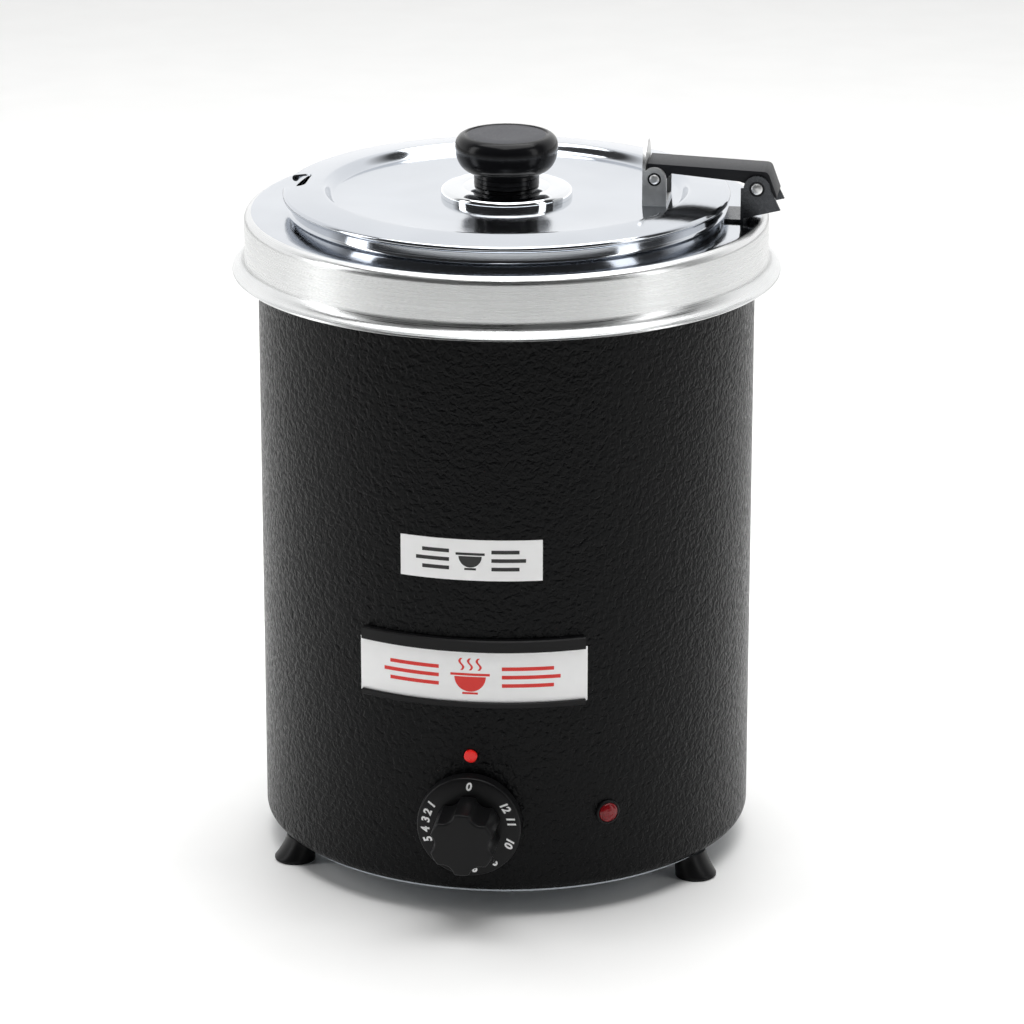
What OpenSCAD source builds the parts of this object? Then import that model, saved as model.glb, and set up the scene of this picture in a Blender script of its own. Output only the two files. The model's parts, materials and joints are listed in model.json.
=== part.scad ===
// Electric soup kettle with a lift-out pot in a heated water well and a hinged lid.
// Millimetres, +Z up. Origin on the floor under the kettle's axis, dial at -Y, hinge at +X.

/* [Pot and well] */
// Inside radius of the insert pot
pot_r = 97.2; // [80:0.2:125]
// Inside depth of the insert pot
pot_depth = 198; // [150:1:260]
// Radius of the curve between the pot's wall and its bottom
pot_corner_r = 14; // [6:1:30]
// Free space between the pot and the well's wall
well_gap = 5.8; // [3:0.2:12]
// Water depth under the pot
water_gap = 21.7; // [10:0.1:40]
// Thickness of the stainless sheet of pot, well, ring and lid
sheet = 1; // [0.8:0.1:1.2]

/* [Housing] */
// Air jacket between the well and the housing
jacket_gap = 13.8; // [8:0.2:25]
// Thickness of the painted steel housing
wall = 1.2; // [0.8:0.1:1.6]
// Height of the electrical compartment under the well
works_h = 78; // [72:1:100]
// Outer radius of the housing's bottom edge
bottom_round = 5; // [3:0.5:8]
// Width of the flange turned in at the bottom
bottom_flange_w = 20; // [18:1:30]

/* [Feet] */
// Height of the feet
foot_h = 13; // [10:0.5:25]
// Half width of a foot
foot_r = 10; // [8:0.5:14]
// How far a foot's toe reaches out past the housing
foot_toe_out = 4; // [0:0.5:8]
// Angle by which the feet are set round from the dial
feet_turn = 2; // [-10:0.5:10]

/* [Lid ring] */
// Free space between the housing and the ring's skirt
skirt_gap = 5.4; // [3:0.2:8]
// Height of the ring's skirt, lip included
skirt_h = 27.6; // [20:0.2:36]
// Radius of the flare that ends in the lip
flare_r = 6.8; // [4:0.2:10]
// Radius of the ring's shoulder
shoulder_r = 4; // [2:0.5:9]
// How far the collar stands outside the pot's wall
collar_step = 6.4; // [5:0.2:10]
// Height of the collar above the ring's flat top
collar_h = 6.3; // [5:0.1:20]

/* [Lid] */
// How far the lid's rolled rim hangs over the collar
lid_overhang = 4.1; // [3.4:0.1:6]
// Radius of the lid's rolled rim
lid_roll_r = 2.5; // [2:0.1:3]
// Width of the border round the sunk panel
lid_border = 20.4; // [14:0.2:30]
// Width of the ladle notch
notch_w = 24; // [15:1:40]
// Depth of the ladle notch from the rim
notch_depth = 11; // [8:0.5:14]

/* [Lid knob] */
// Radius of the chrome washer
washer_r = 31.7; // [26:0.1:40]
// Height of the chrome washer
washer_h = 5; // [4:0.1:7]
// Widest radius of the knob
knob_r = 24.8; // [20:0.1:30]
// Radius of the knob's flat top
knob_top_r = 20.3; // [15:0.1:25]
// Radius of the knob's neck
knob_neck_r = 15.7; // [10:0.1:18]
// Height of the knob above the washer
knob_h = 25; // [20:0.5:35]

/* [Hinge] */
// Outer width of the hinge arm
arm_w = 21; // [16:0.5:30]
// Thickness of the arm's walls
arm_wall = 2.4; // [1.8:0.1:3]
// Thickness of the brackets' sheet
bracket_t = 1.5; // [1.2:0.1:2]
// Distance of the lid pin inside the edge of the sunk panel
lid_pin_inset = 14.6; // [13:0.1:25]
// Height of the lid pin above the panel
lid_pin_h = 13; // [12:0.1:18]
// Distance of the ring pin outside the collar
ring_pin_out = 18.1; // [17:0.1:20]
// Height of the ring pin above the ring's flat top
ring_pin_h = 16.6; // [16:0.1:30]
// Radius of the lid pin
lid_pin_r = 2.3; // [1.5:0.05:2.6]
// Radius of the ring pin
ring_pin_r = 2.65; // [1.5:0.05:3]
// Radius of the arm's boss in the lid bracket
lid_boss_r = 3.2; // [3:0.05:3.6]
// Radius of the arm's boss in the ring bracket
ring_boss_r = 3.7; // [3.4:0.05:4]

/* [Dial, lamp and labels] */
// Radius of the dial's disc
dial_r = 25; // [20:0.5:30]
// Thickness of the dial's disc
dial_t = 7; // [5:0.5:9]
// Length of the dial's grip in front of its disc
grip_h = 23; // [14:0.5:28]
// Radius of the dial's grip
grip_r = 15.8; // [12:0.2:18]
// Height of the dial's axis above the housing's bottom
dial_z = 36.5; // [30:0.5:45]
// Radius of the pilot lamp's bezel
bezel_r = 6; // [5:0.2:9]
// Radius of the pilot lamp's lens
lens_r = 4.7; // [3.5:0.1:7]
// Angle of the pilot lamp round from the dial
lamp_angle = 31.7; // [26:0.1:45]
// Radius of the red indicator
indicator_r = 3.15; // [2:0.05:5]
// Height of the red indicator above the housing's bottom
indicator_z = 70; // [66:0.5:85]
// Half the angle that the name plate covers
plate_half_angle = 16.2; // [8:0.1:30]
// Height of the name plate
plate_h = 20; // [10:0.5:40]
// Height of the name plate's middle above the housing's bottom
plate_z = 168; // [150:0.5:190]
// Half the angle that the label card covers
card_half_angle = 26.4; // [15:0.1:40]
// Visible height of the label card
card_h = 25; // [15:0.5:35]
// Height of the label card's middle above the housing's bottom
card_z = 110.5; // [100:0.5:125]

/* [Electrical] */
// Radius of the cord hole in the gland
cord_r = 4.2; // [3:0.1:5]
// Radius of the thermostat's shaft
shaft_r = 3; // [2.5:0.05:3.5]
// Radius of the heating element
element_r = 62; // [40:1:70]
// Thickness of the heating element
element_t = 4; // [3:0.5:8]

/* [Hidden] */
$fn = 96;

// clearances
seat_gap = 0.2;      // between pieces that rest on each other
curve_gap = 0.35;    // between curved pieces of different bodies
run_gap = 0.05;      // round a turning shaft or boss
side_gap = 0.2;      // between the arm and the bracket ears
eps = 0.01;          // overlap of cutting tools

// radii, from the pot outwards
pot_out_r = pot_r + sheet;
well_r = pot_out_r + well_gap;
well_out_r = well_r + sheet;
body_in_r = well_out_r + jacket_gap;
body_r = body_in_r + wall;
skirt_r = body_r + skirt_gap;
collar_r = pot_r + collar_step;
lid_r = collar_r + lid_overhang;
panel_r = lid_r - lid_border;

// heights, from the floor upwards
body_z = foot_h;
well_z = body_z + works_h;
pot_z = well_z + sheet + water_gap;
pot_rim_z = pot_z + sheet + pot_depth;
well_rim_z = pot_rim_z - sheet - seat_gap;
body_top_z = well_rim_z - sheet;
bead_r = 3.2;
bead_ring_r = pot_r + 13.8;
ring_top_z = pot_rim_z - sheet + 2 * bead_r + 0.3 + sheet;
collar_fillet = 2;
collar_top_z = ring_top_z + collar_h;
lid_roll_ring_r = lid_r - lid_roll_r;
lid_roll_reach = collar_r - lid_roll_ring_r;
lid_roll_z = collar_top_z + curve_gap
    + sqrt(lid_roll_r * lid_roll_r - lid_roll_reach * lid_roll_reach);
panel_z = lid_roll_z - 2;
washer_top_z = panel_z + washer_h;

// bottom of the housing
base_t = 1.2;
base_r = body_r - bottom_round;
flange_in_r = body_r - bottom_flange_w;
base_screw_ring_r = body_r - 14;
foot_ring_r = body_r + foot_toe_out - foot_r;
foot_toe_t = 2.5;         // thickness of a foot's toe
foot_slope_in = 7;        // how far the front stands back at the top
foot_hollow_r = 18;
foot_top_z = body_z - base_t;
foot_screw_ring_r = body_r - 12;
feet = [feet_turn - 60, feet_turn + 60, feet_turn + 180];

// hinge
lid_pin_x = panel_r - lid_pin_inset;
lid_pin_z = panel_z + lid_pin_h;
ring_pin_x = collar_r + ring_pin_out;
ring_pin_z = ring_top_z + ring_pin_h;
ear_in = arm_w / 2 + side_gap;
ear_out = ear_in + bracket_t;
lid_ear_r = 5.8;
ring_ear_r = 6.4;
lid_web_x = lid_pin_x - lid_ear_r;
lid_web_top_z = lid_pin_z + 16.7;
ring_web_x = ring_pin_x - 7.7;
ring_web_top_z = ring_pin_z - 6.4;
arm_start_x = lid_web_x + bracket_t + 0.6;
arm_end_x = ring_pin_x + 5;     // where the arm's top ends
arm_toe = [ring_pin_x + 9.5, ring_pin_z - 4];
arm_start_z = lid_pin_z + 7.4;
arm_end_z = ring_pin_z + 8.2;
arm_end_round = 3;
arm_end_slope = atan2(arm_toe[0] - arm_end_x, arm_end_z - arm_toe[1]);
arm_side = 4.6;           // depth of the arm's sides between the pins

// dial and thermostat, on the -Y side
dial_axis_z = body_z + dial_z;
dial_back_y = -(body_r + 0.9);
dial_face_y = dial_back_y - dial_t;
grip_end_y = dial_face_y - grip_h;
bracket_y = -(body_in_r - 8);
thermo_size = [44, 24, 34];
shaft_hole_r = 5;
thermo_screw_x = 14;

// cord gland, on the +Y side
gland_z = body_z + 34;
gland_r = 10;
gland_af = 24;
gland_end_y = -grip_end_y;
gland_hex_t = 6;
gland_inside = 14;
lock_nut_t = 5;
hole_gap = 0.3;

gland_seat_y = body_r + 0.6;
gland_dome_y = gland_seat_y + gland_hex_t + 0.2;
gland_stem_h = 9;         // threaded end inside the dome nut
gland_nut_h = 10;         // hexagonal part of the dome nut

// screws and vents
screw_r = 2;
small_screw_r = 1.5;
knob_screw_r = 2.5;
bottom_in_z = body_z + wall;
vent_r = 46;
vent_len = 24;
vent_half_w = 2;

// heater
element_z = well_z - element_t;
element_hole_r = 12;
tab_w = 6;
tab_t = 0.8;
tab_x = 8;                // each terminal tab's distance from the middle
tab_z = element_z + 1.2;
clamp_t = 1.5;
clamp_z = element_z - clamp_t;
clamp_arms = [30, 150, 270];
clamp_arm_w = 14;
stud_ring_r = element_r + 8;
stud_r = 2;
clamp_nut_t = 3.2;

// thermostat and its bulb
bracket_plate_t = 1.5;
bracket_half_w = 24;
bracket_half_h = 15;
bracket_leg_y = -sqrt(pow(body_in_r, 2) - pow(bracket_half_w, 2));
thermo_y = bracket_y + bracket_plate_t;
shaft_depth = 12;         // reach of the shaft into the thermostat
shaft_flat = 1.3;         // depth of the flat on the shaft
bulb_r = 3.2;
bulb_len = 70;
bulb_pos = [-(element_r + 22), -25, well_z - bulb_r - 0.6];
clip_w = 10;
clip_t = 1.2;

// lamp and indicator
lamp_z = body_z + 38;
bezel_t = 1.4;
indicator_stem_r = 2;
clip_seat_r = sqrt(pow(body_in_r, 2) - pow(lens_r + 4, 2)) - 0.05;

// labels
plate_t = 0.4;
rail_t = 2.2;
rail_top_h = 6;
rail_bottom_h = 3;
holder_back_t = 0.9;
groove = 1;
card_t = 0.5;
card_r = body_r + 1.2;
holder_half_angle = card_half_angle - 0.6;

// terminals and wires
block_pos = [12, 56, body_z];
block_size = [44, 18, 16];
poles = 4;
pole_pitch = block_size[0] / poles;
pole_z = block_pos[2] + 7;
pole_hole_r = 2.2;
wire_r = 1.1;
capillary_r = 0.8;

// lid
lid_rise_steps = 8;
lid_rise_end_r = lid_roll_ring_r - 1;
lid_crest_z = lid_roll_z + lid_roll_r - 0.3;

// helpers

// quarter of a round bend, sheet thick, centred at c, from angle a to a + 90
module bend(c, r_in, r_out, a) {
    translate(c)
        rotate(a)
            intersection() {
                difference() {
                    circle(r = r_out);
                    circle(r = r_in);
                }
                square(r_out + 1);
            }
}

// places a piece on the housing's wall: its +Z turns outwards along the radius at angle a from the dial
module on_wall(a, r, z) {
    rotate([0, 0, a])
        translate([0, -r, z])
            rotate([90, 0, 0])
                children();
}

// sector of a ring from r1 to r2, z1 to z2, half_angle to each side of the dial's direction
module wall_sector(r1, r2, z1, z2, half_angle) {
    translate([0, 0, z1])
        rotate([0, 0, -90 - half_angle])
            rotate_extrude(angle = 2 * half_angle)
                translate([r1, 0])
                    square([r2 - r1, z2 - z1]);
}

// pan-head screw pointing down: head's underside at the origin
module screw(r, length, head_r, head_h) {
    translate([0, 0, -length])
        cylinder(r = r, h = length + head_h / 2);
    difference() {
        cylinder(r = head_r, h = head_h);
        translate([-head_r * 0.6, -0.4, head_h * 0.5])
            cube([head_r * 1.2, 0.8, head_h]);
    }
}

// round wire swept along points p
function unit(v) = v / norm(v);
function heading(p, i) = unit(p[min(i + 1, len(p) - 1)] - p[max(i - 1, 0)]);
function side_of(d) = unit(abs(d[2]) < 0.9 ? cross(d, [0, 0, 1]) : cross(d, [1, 0, 0]));
function bezier(a, b, c, d, t) =
    pow(1 - t, 3) * a + 3 * pow(1 - t, 2) * t * b + 3 * (1 - t) * t * t * c + pow(t, 3) * d;
function curve(a, b, c, d, n) = [for (i = [0:n]) bezier(a, b, c, d, i / n)];
module wire(p, r, sides = 8) {
    n = len(p);
    points = [
        for (i = [0:n - 1])
            let (d = heading(p, i), s = side_of(d), u = cross(s, d))
            for (k = [0:sides - 1]) p[i] + r * (cos(360 * k / sides) * s + sin(360 * k / sides) * u)
    ];
    sides_faces = [
        for (i = [0:n - 2], k = [0:sides - 1])
            let (k2 = (k + 1) % sides)
            [i * sides + k, i * sides + k2, (i + 1) * sides + k2, (i + 1) * sides + k]
    ];
    start_face = [for (k = [sides - 1:-1:0]) k];
    end_face = [for (k = [0:sides - 1]) (n - 1) * sides + k];
    polyhedron(points = points, faces = concat([start_face], sides_faces, [end_face]), convexity = 4);
}

// housing

module outer_housing() {
    color("#1b1c1e")
        difference() {
            rotate_extrude() {
                translate([body_in_r, body_z + bottom_round])
                    square([wall, body_top_z - body_z - bottom_round]);
                bend([body_r - bottom_round, body_z + bottom_round], bottom_round - wall, bottom_round, 270);
                translate([flange_in_r, body_z])
                    square([base_r - flange_in_r, wall]);
            }
            translate([0, -body_r, dial_axis_z])
                rotate([90, 0, 0])
                    cylinder(r = shaft_hole_r, h = 10, center = true);
            on_wall(lamp_angle, body_r, lamp_z)
                cylinder(r = lens_r + hole_gap, h = 10, center = true);
            on_wall(0, body_r, body_z + indicator_z)
                cylinder(r = indicator_stem_r + hole_gap, h = 10, center = true);
            on_wall(180, body_r, gland_z)
                cylinder(r = gland_r + hole_gap, h = 10, center = true);
            for (a = feet)
                rotate([0, 0, a])
                    translate([0, -foot_screw_ring_r, body_z])
                        cylinder(r = screw_r + hole_gap, h = 10, center = true);
            for (a = feet)
                rotate([0, 0, a + 60])
                    translate([0, -base_screw_ring_r, body_z])
                        cylinder(r = small_screw_r + hole_gap, h = 10, center = true);
        }
}

module base_plate() {
    color("#8f9296")
        difference() {
            translate([0, 0, body_z - base_t])
                cylinder(r = base_r, h = base_t);
            for (a = feet) {
                rotate([0, 0, a])
                    translate([0, -foot_screw_ring_r, body_z])
                        cylinder(r = screw_r + hole_gap, h = 10, center = true);
                rotate([0, 0, a + 60])
                    translate([0, -base_screw_ring_r, body_z])
                        cylinder(r = small_screw_r + hole_gap, h = 10, center = true);
            }
            for (a = [0:45:315])
                rotate([0, 0, a + 10])
                    vent_slot();
        }
}

module vent_slot() {
    translate([vent_r, 0, body_z - base_t - 1]) {
        for (x = [0, vent_len])
            translate([x, 0, 0])
                cylinder(r = vent_half_w, h = base_t + 2);
        translate([0, -vent_half_w, 0])
            cube([vent_len, 2 * vent_half_w, base_t + 2]);
    }
}

// screws from below through the base plate into the housing's flange
module base_screws() {
    color("#c9cbce")
        for (a = feet)
            rotate([0, 0, a + 60])
                translate([0, -base_screw_ring_r, body_z - base_t])
                    rotate([180, 0, 0])
                        screw(small_screw_r, 6, 2.8, 2);
}

// foot with a slightly hollow front that slopes out into a toe
module foot(a) {
    toe = [0, foot_toe_t];
    top = [foot_slope_in, foot_top_z];
    half = (top - toe) / 2;
    away = sqrt(pow(foot_hollow_r, 2) - pow(norm(half), 2));
    hollow = toe + half + away * [-half[1], half[0]] / norm(half);
    color("#161718")
        rotate([0, 0, a])
            difference() {
                union() {
                    translate([0, -foot_ring_r, 0])
                        cylinder(r = foot_r, h = foot_top_z);
                    translate([-foot_r, -foot_ring_r, 0])
                        cube([2 * foot_r, foot_r, foot_top_z]);
                }
                translate([-foot_r - 1, -foot_ring_r - foot_r + hollow[0], hollow[1]])
                    rotate([0, 90, 0])
                        cylinder(r = foot_hollow_r, h = 2 * foot_r + 2);
                translate([0, -foot_screw_ring_r, foot_top_z - 8])
                    cylinder(r = screw_r + run_gap, h = 9);
            }
}

module foot_left() { foot(feet[0]); }
module foot_right() { foot(feet[1]); }
module foot_rear() { foot(feet[2]); }

// screws from inside the housing down into the feet
module foot_screws() {
    color("#c9cbce")
        for (a = feet)
            rotate([0, 0, a])
                translate([0, -foot_screw_ring_r, bottom_in_z])
                    screw(screw_r, 9, 3.6, 2.4);
}

// well and heater

module water_well() {
    hem_w = 2.6;
    flange_r = skirt_r - 0.8;
    color("#cfd2d4")
        rotate_extrude() {
            translate([0, well_z])
                square([well_r - 6, sheet]);
            bend([well_r - 6, well_z + 6 + sheet], 6, 6 + sheet, 270);
            translate([well_r, well_z + 6 + sheet])
                square([sheet, well_rim_z - well_z - 6 - sheet]);
            translate([well_r, well_rim_z - sheet])
                square([flange_r - well_r, sheet]);
            translate([flange_r - hem_w, well_rim_z - 2 * sheet])
                square([hem_w, sheet + eps]);
        }
}

// ring-shaped foil element with two terminal tabs
module heating_element() {
    color("#b9a27a")
        union() {
            translate([0, 0, element_z])
                difference() {
                    cylinder(r = element_r, h = element_t);
                    translate([0, 0, -1])
                        cylinder(r = element_hole_r, h = element_t + 2);
                }
            for (s = [-1, 1])
                translate([s * tab_x - tab_w / 2, element_r - 2, tab_z])
                    cube([tab_w, 16, tab_t]);
        }
}

module element_clamp() {
    color("#aeb2b5")
        difference() {
            union() {
                translate([0, 0, clamp_z])
                    cylinder(r = element_r - 6, h = clamp_t);
                for (a = clamp_arms)
                    rotate([0, 0, a])
                        translate([0, -clamp_arm_w / 2, clamp_z])
                            cube([stud_ring_r + 6, clamp_arm_w, clamp_t]);
            }
            for (a = clamp_arms)
                rotate([0, 0, a])
                    translate([stud_ring_r, 0, clamp_z - 1])
                        cylinder(r = stud_r + hole_gap, h = clamp_t + 2);
        }
}

module clamp_studs() {
    color("#c9cbce")
        for (a = clamp_arms)
            rotate([0, 0, a])
                translate([stud_ring_r, 0, clamp_z - 7])
                    cylinder(r = stud_r, h = well_z - clamp_z + 7);
}

module clamp_nuts() {
    color("#c9cbce")
        for (a = clamp_arms)
            rotate([0, 0, a])
                translate([stud_ring_r, 0, clamp_z - clamp_nut_t])
                    difference() {
                        cylinder(r = 4, h = clamp_nut_t, $fn = 6);
                        translate([0, 0, -1])
                            cylinder(r = stud_r + run_gap, h = 6);
                    }
}

// thermostat

module thermostat_bracket() {
    color("#aeb2b5")
        difference() {
            union() {
                translate([-bracket_half_w, bracket_y, dial_axis_z - bracket_half_h])
                    cube([2 * bracket_half_w, bracket_plate_t, 2 * bracket_half_h]);
                for (s = [-1, 1])
                    translate([s * (bracket_half_w - bracket_plate_t / 2) - bracket_plate_t / 2,
                        bracket_leg_y, dial_axis_z - bracket_half_h])
                        cube([bracket_plate_t, bracket_y + bracket_plate_t - bracket_leg_y, 2 * bracket_half_h]);
            }
            translate([0, bracket_y - 1, dial_axis_z])
                rotate([-90, 0, 0])
                    cylinder(r = shaft_hole_r + 0.5, h = bracket_plate_t + 2);
            for (s = [-1, 1])
                translate([s * thermo_screw_x, bracket_y - 1, dial_axis_z])
                    rotate([-90, 0, 0])
                        cylinder(r = small_screw_r + hole_gap, h = bracket_plate_t + 2);
        }
}

module thermostat_body() {
    color("#e4dfd2")
        difference() {
            union() {
                translate([-thermo_size[0] / 2, thermo_y, dial_axis_z - thermo_size[2] / 2])
                    cube(thermo_size);
                translate([0, thermo_y - 5, dial_axis_z])
                    rotate([-90, 0, 0])
                        cylinder(r = shaft_hole_r, h = 5 + eps);
            }
            translate([0, thermo_y - 6, dial_axis_z])
                rotate([-90, 0, 0])
                    cylinder(r = shaft_r + run_gap, h = 20);
            for (s = [-1, 1])
                translate([s * thermo_screw_x, thermo_y - 1, dial_axis_z])
                    rotate([-90, 0, 0])
                        cylinder(r = small_screw_r + run_gap, h = 9);
        }
}

module thermostat_screws() {
    color("#c9cbce")
        for (s = [-1, 1])
            translate([s * thermo_screw_x, bracket_y, dial_axis_z])
                rotate([90, 0, 0])
                    screw(small_screw_r, 8, 2.8, 2);
}

// shaft with a flat near its end, turning in the thermostat's neck
module thermostat_shaft() {
    shaft_end_y = dial_face_y - 8;
    color("#c9cbce")
        difference() {
            translate([0, thermo_y + shaft_depth, dial_axis_z])
                rotate([90, 0, 0])
                    cylinder(r = shaft_r, h = thermo_y + shaft_depth - shaft_end_y);
            translate([-shaft_r - 1, shaft_end_y - 1, dial_axis_z + shaft_r - shaft_flat])
                cube([2 * shaft_r + 2, 13, 3]);
        }
}

module thermostat_bulb() {
    color("#b87a4a")
        translate(bulb_pos)
            rotate([-90, 0, 0])
                cylinder(r = bulb_r, h = bulb_len);
}

// strap under the bulb, welded to the well's bottom
module bulb_clip() {
    color("#aeb2b5")
        translate([bulb_pos[0], bulb_pos[1] + (bulb_len - clip_w) / 2, 0])
            difference() {
                translate([-bulb_r - 6, 0, well_z - 2 * bulb_r - 1 - clip_t])
                    cube([2 * bulb_r + 12, clip_w, 2 * bulb_r + 1 + clip_t]);
                translate([-bulb_r - 0.4, -1, well_z - 2 * bulb_r - 1])
                    cube([2 * bulb_r + 0.8, clip_w + 2, 2 * bulb_r + 2]);
                for (s = [-1, 1])
                    translate([s * (bulb_r + 4.6) - 3, -1, well_z - clip_t - 10])
                        cube([6, clip_w + 2, 10]);
            }
}

// fine copper tube from the thermostat's back to the bulb
module capillary() {
    start = [-12, thermo_y + thermo_size[1], dial_axis_z + 10];
    color("#b87a4a")
        wire(curve(start, start + [-6, 14, -14], bulb_pos + [0, -34, -14], bulb_pos, 24), capillary_r);
}

// dial

module control_dial() {
    lobes = 6;
    color("#1c1c1d")
        difference() {
            translate([0, dial_back_y, dial_axis_z])
                rotate([90, 0, 0]) {
                    difference() {
                        union() {
                            cylinder(r = dial_r, h = dial_t - 1.5);
                            translate([0, 0, dial_t - 1.5])
                                cylinder(r1 = dial_r, r2 = dial_r - 1, h = 1.5);
                        }
                        translate([0, 0, -1])
                            cylinder(r = dial_r - 2.5, h = dial_t - 1.5);
                    }
                    cylinder(r = shaft_r + 3, h = dial_t);
                    translate([0, 0, dial_t - eps])
                        linear_extrude(grip_h + eps)
                            difference() {
                                circle(r = grip_r);
                                for (a = [0:lobes - 1])
                                    rotate(360 / lobes * (a + 0.5) + 90)
                                        translate([grip_r + 3.4, 0])
                                            circle(r = 6);
                            }
                }
            difference() {
                translate([0, dial_back_y + 1, dial_axis_z])
                    rotate([90, 0, 0])
                        cylinder(r = shaft_r + run_gap, h = dial_t + 10);
                translate([-shaft_r - 1, dial_face_y - 10, dial_axis_z + shaft_r - 1.2])
                    cube([2 * shaft_r + 2, 13.9, 3]);
            }
        }
}

// pilot lamp and indicator

module lamp_bezel() {
    color("#121213")
        on_wall(lamp_angle, body_r + 0.2, lamp_z)
            difference() {
                cylinder(r = bezel_r, h = bezel_t);
                translate([0, 0, -1])
                    cylinder(r = lens_r + run_gap, h = bezel_t + 2);
            }
}

// red lens with a domed front on a round body that passes through the wall
module lamp_lens() {
    dome_h = 1.6;
    dome_r = (lens_r * lens_r + dome_h * dome_h) / (2 * dome_h);
    color("#7a1218")
        on_wall(lamp_angle, body_r, lamp_z)
            intersection() {
                translate([0, 0, -24])
                    cylinder(r = lens_r, h = 24 + bezel_t + dome_h);
                translate([0, 0, bezel_t + dome_h - dome_r])
                    union() {
                        sphere(r = dome_r);
                        translate([0, 0, -40])
                            cylinder(r = lens_r + 1, h = 40);
                    }
            }
}

module lamp_clip() {
    color("#aeb2b5")
        on_wall(lamp_angle, clip_seat_r - 1.2, lamp_z)
            difference() {
                cylinder(r = lens_r + 4, h = 1.2);
                translate([0, 0, -1])
                    cylinder(r = lens_r + run_gap, h = 4);
            }
}

// red stud with a stem that presses into the wall
module indicator() {
    color("#ff1a12")
        on_wall(0, body_r, body_z + indicator_z)
            union() {
                translate([0, 0, 0.1])
                    cylinder(r = indicator_r, h = 1.2);
                translate([0, 0, -4])
                    cylinder(r = indicator_stem_r, h = 4.6);
            }
}

// labels

module label_holder() {
    z1 = body_z + card_z - card_h / 2 - rail_bottom_h;
    z2 = body_z + card_z + card_h / 2 + rail_top_h;
    color("#222324")
        difference() {
            wall_sector(body_r, body_r + holder_back_t + rail_t, z1, z2, holder_half_angle);
            wall_sector(body_r + holder_back_t, body_r + 10, z1 + rail_bottom_h, z2 - rail_top_h,
                holder_half_angle + 1);
            wall_sector(card_r - 0.2, card_r + card_t + 0.2, z1 + rail_bottom_h - groove - 0.2,
                z2 - rail_top_h + groove + 0.2, holder_half_angle + 1);
        }
}

module label_card() {
    color("#fafafa")
        wall_sector(card_r, card_r + card_t, body_z + card_z - card_h / 2 - groove,
            body_z + card_z + card_h / 2 + groove, card_half_angle);
}

module name_plate() {
    color("#fafafa")
        wall_sector(body_r, body_r + plate_t, body_z + plate_z - plate_h / 2, body_z + plate_z + plate_h / 2,
            plate_half_angle);
}

// cord gland

module gland_body() {
    color("#141415")
        translate([0, gland_seat_y, gland_z])
            rotate([-90, 0, 0])
                difference() {
                    union() {
                        cylinder(r = gland_af / sqrt(3), h = gland_hex_t, $fn = 6);
                        translate([0, 0, -gland_inside])
                            cylinder(r = gland_r, h = gland_inside + eps);
                        translate([0, 0, gland_hex_t - eps])
                            cylinder(r = gland_r - 0.6, h = gland_stem_h);
                    }
                    translate([0, 0, -gland_inside - 1])
                        cylinder(r = cord_r, h = gland_inside + gland_hex_t + 12);
                }
}

module gland_dome_nut() {
    length = gland_end_y - gland_dome_y;
    color("#141415")
        translate([0, gland_dome_y, gland_z])
            rotate([-90, 0, 0])
                difference() {
                    union() {
                        cylinder(r = gland_af / sqrt(3), h = gland_nut_h, $fn = 6);
                        translate([0, 0, gland_nut_h - eps])
                            cylinder(r1 = gland_af / 2 - 0.5, r2 = cord_r + 3, h = length - gland_nut_h + eps);
                    }
                    translate([0, 0, -1])
                        cylinder(r = gland_r - 0.6 + run_gap, h = gland_stem_h + 1);
                    cylinder(r = cord_r, h = length + 1);
                }
}

module gland_lock_nut() {
    color("#141415")
        translate([0, body_in_r - 1.4 - lock_nut_t, gland_z])
            rotate([-90, 0, 0])
                difference() {
                    cylinder(r = gland_af / sqrt(3), h = lock_nut_t, $fn = 6);
                    translate([0, 0, -1])
                        cylinder(r = gland_r + run_gap, h = lock_nut_t + 2);
                }
}

// terminals and wires

function pole(i, s) = [block_pos[0] + pole_pitch * (i + 0.5), block_pos[1] + (s > 0 ? block_size[1] : 0), pole_z];
module terminal_block() {
    color("#ece9e0")
        difference() {
            translate(block_pos)
                cube(block_size);
            for (i = [0:poles - 1])
                translate([pole(i, 0)[0], block_pos[1] + block_size[1] / 2, block_pos[2] + 9])
                    cylinder(r = pole_hole_r, h = 10);
        }
}

// insulated wires between the terminal block, thermostat, lamp and element
module wiring() {
    thermo_back = [12, thermo_y + thermo_size[1], dial_axis_z];
    lamp_back = [sin(lamp_angle) * (body_r - 24), -cos(lamp_angle) * (body_r - 24), lamp_z];
    color("#c8322c") {
        wire(curve(pole(0, 0), pole(0, 0) + [0, -30, -2], thermo_back + [0, 30, 6], thermo_back, 22), wire_r);
        wire(curve(pole(2, 0), pole(2, 0) + [4, -30, 0], lamp_back + [-14, 24, 4], lamp_back, 22), wire_r);
    }
    color("#2b62b8") {
        wire(curve(pole(3, 1), pole(3, 1) + [0, 14, 6], [tab_x, element_r + 12, tab_z - 34],
            [tab_x, element_r + 12, tab_z], 22), wire_r);
        wire(curve(thermo_back + [0, 0, 9], thermo_back + [-6, 40, 10], [-tab_x, element_r + 12, tab_z - 40],
            [-tab_x, element_r + 12, tab_z], 30), wire_r);
    }
}

// pot

module insert_pot() {
    color("#d5d8da")
        rotate_extrude() {
            translate([0, pot_z])
                square([pot_r - pot_corner_r, sheet]);
            bend([pot_r - pot_corner_r, pot_z + sheet + pot_corner_r], pot_corner_r, pot_corner_r + sheet, 270);
            translate([pot_r, pot_z + sheet + pot_corner_r])
                square([sheet, pot_depth - pot_corner_r]);
            translate([pot_r, pot_rim_z - sheet])
                square([bead_ring_r - pot_r, sheet]);
            translate([bead_ring_r, pot_rim_z - sheet + bead_r])
                circle(r = bead_r);
        }
}

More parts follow.
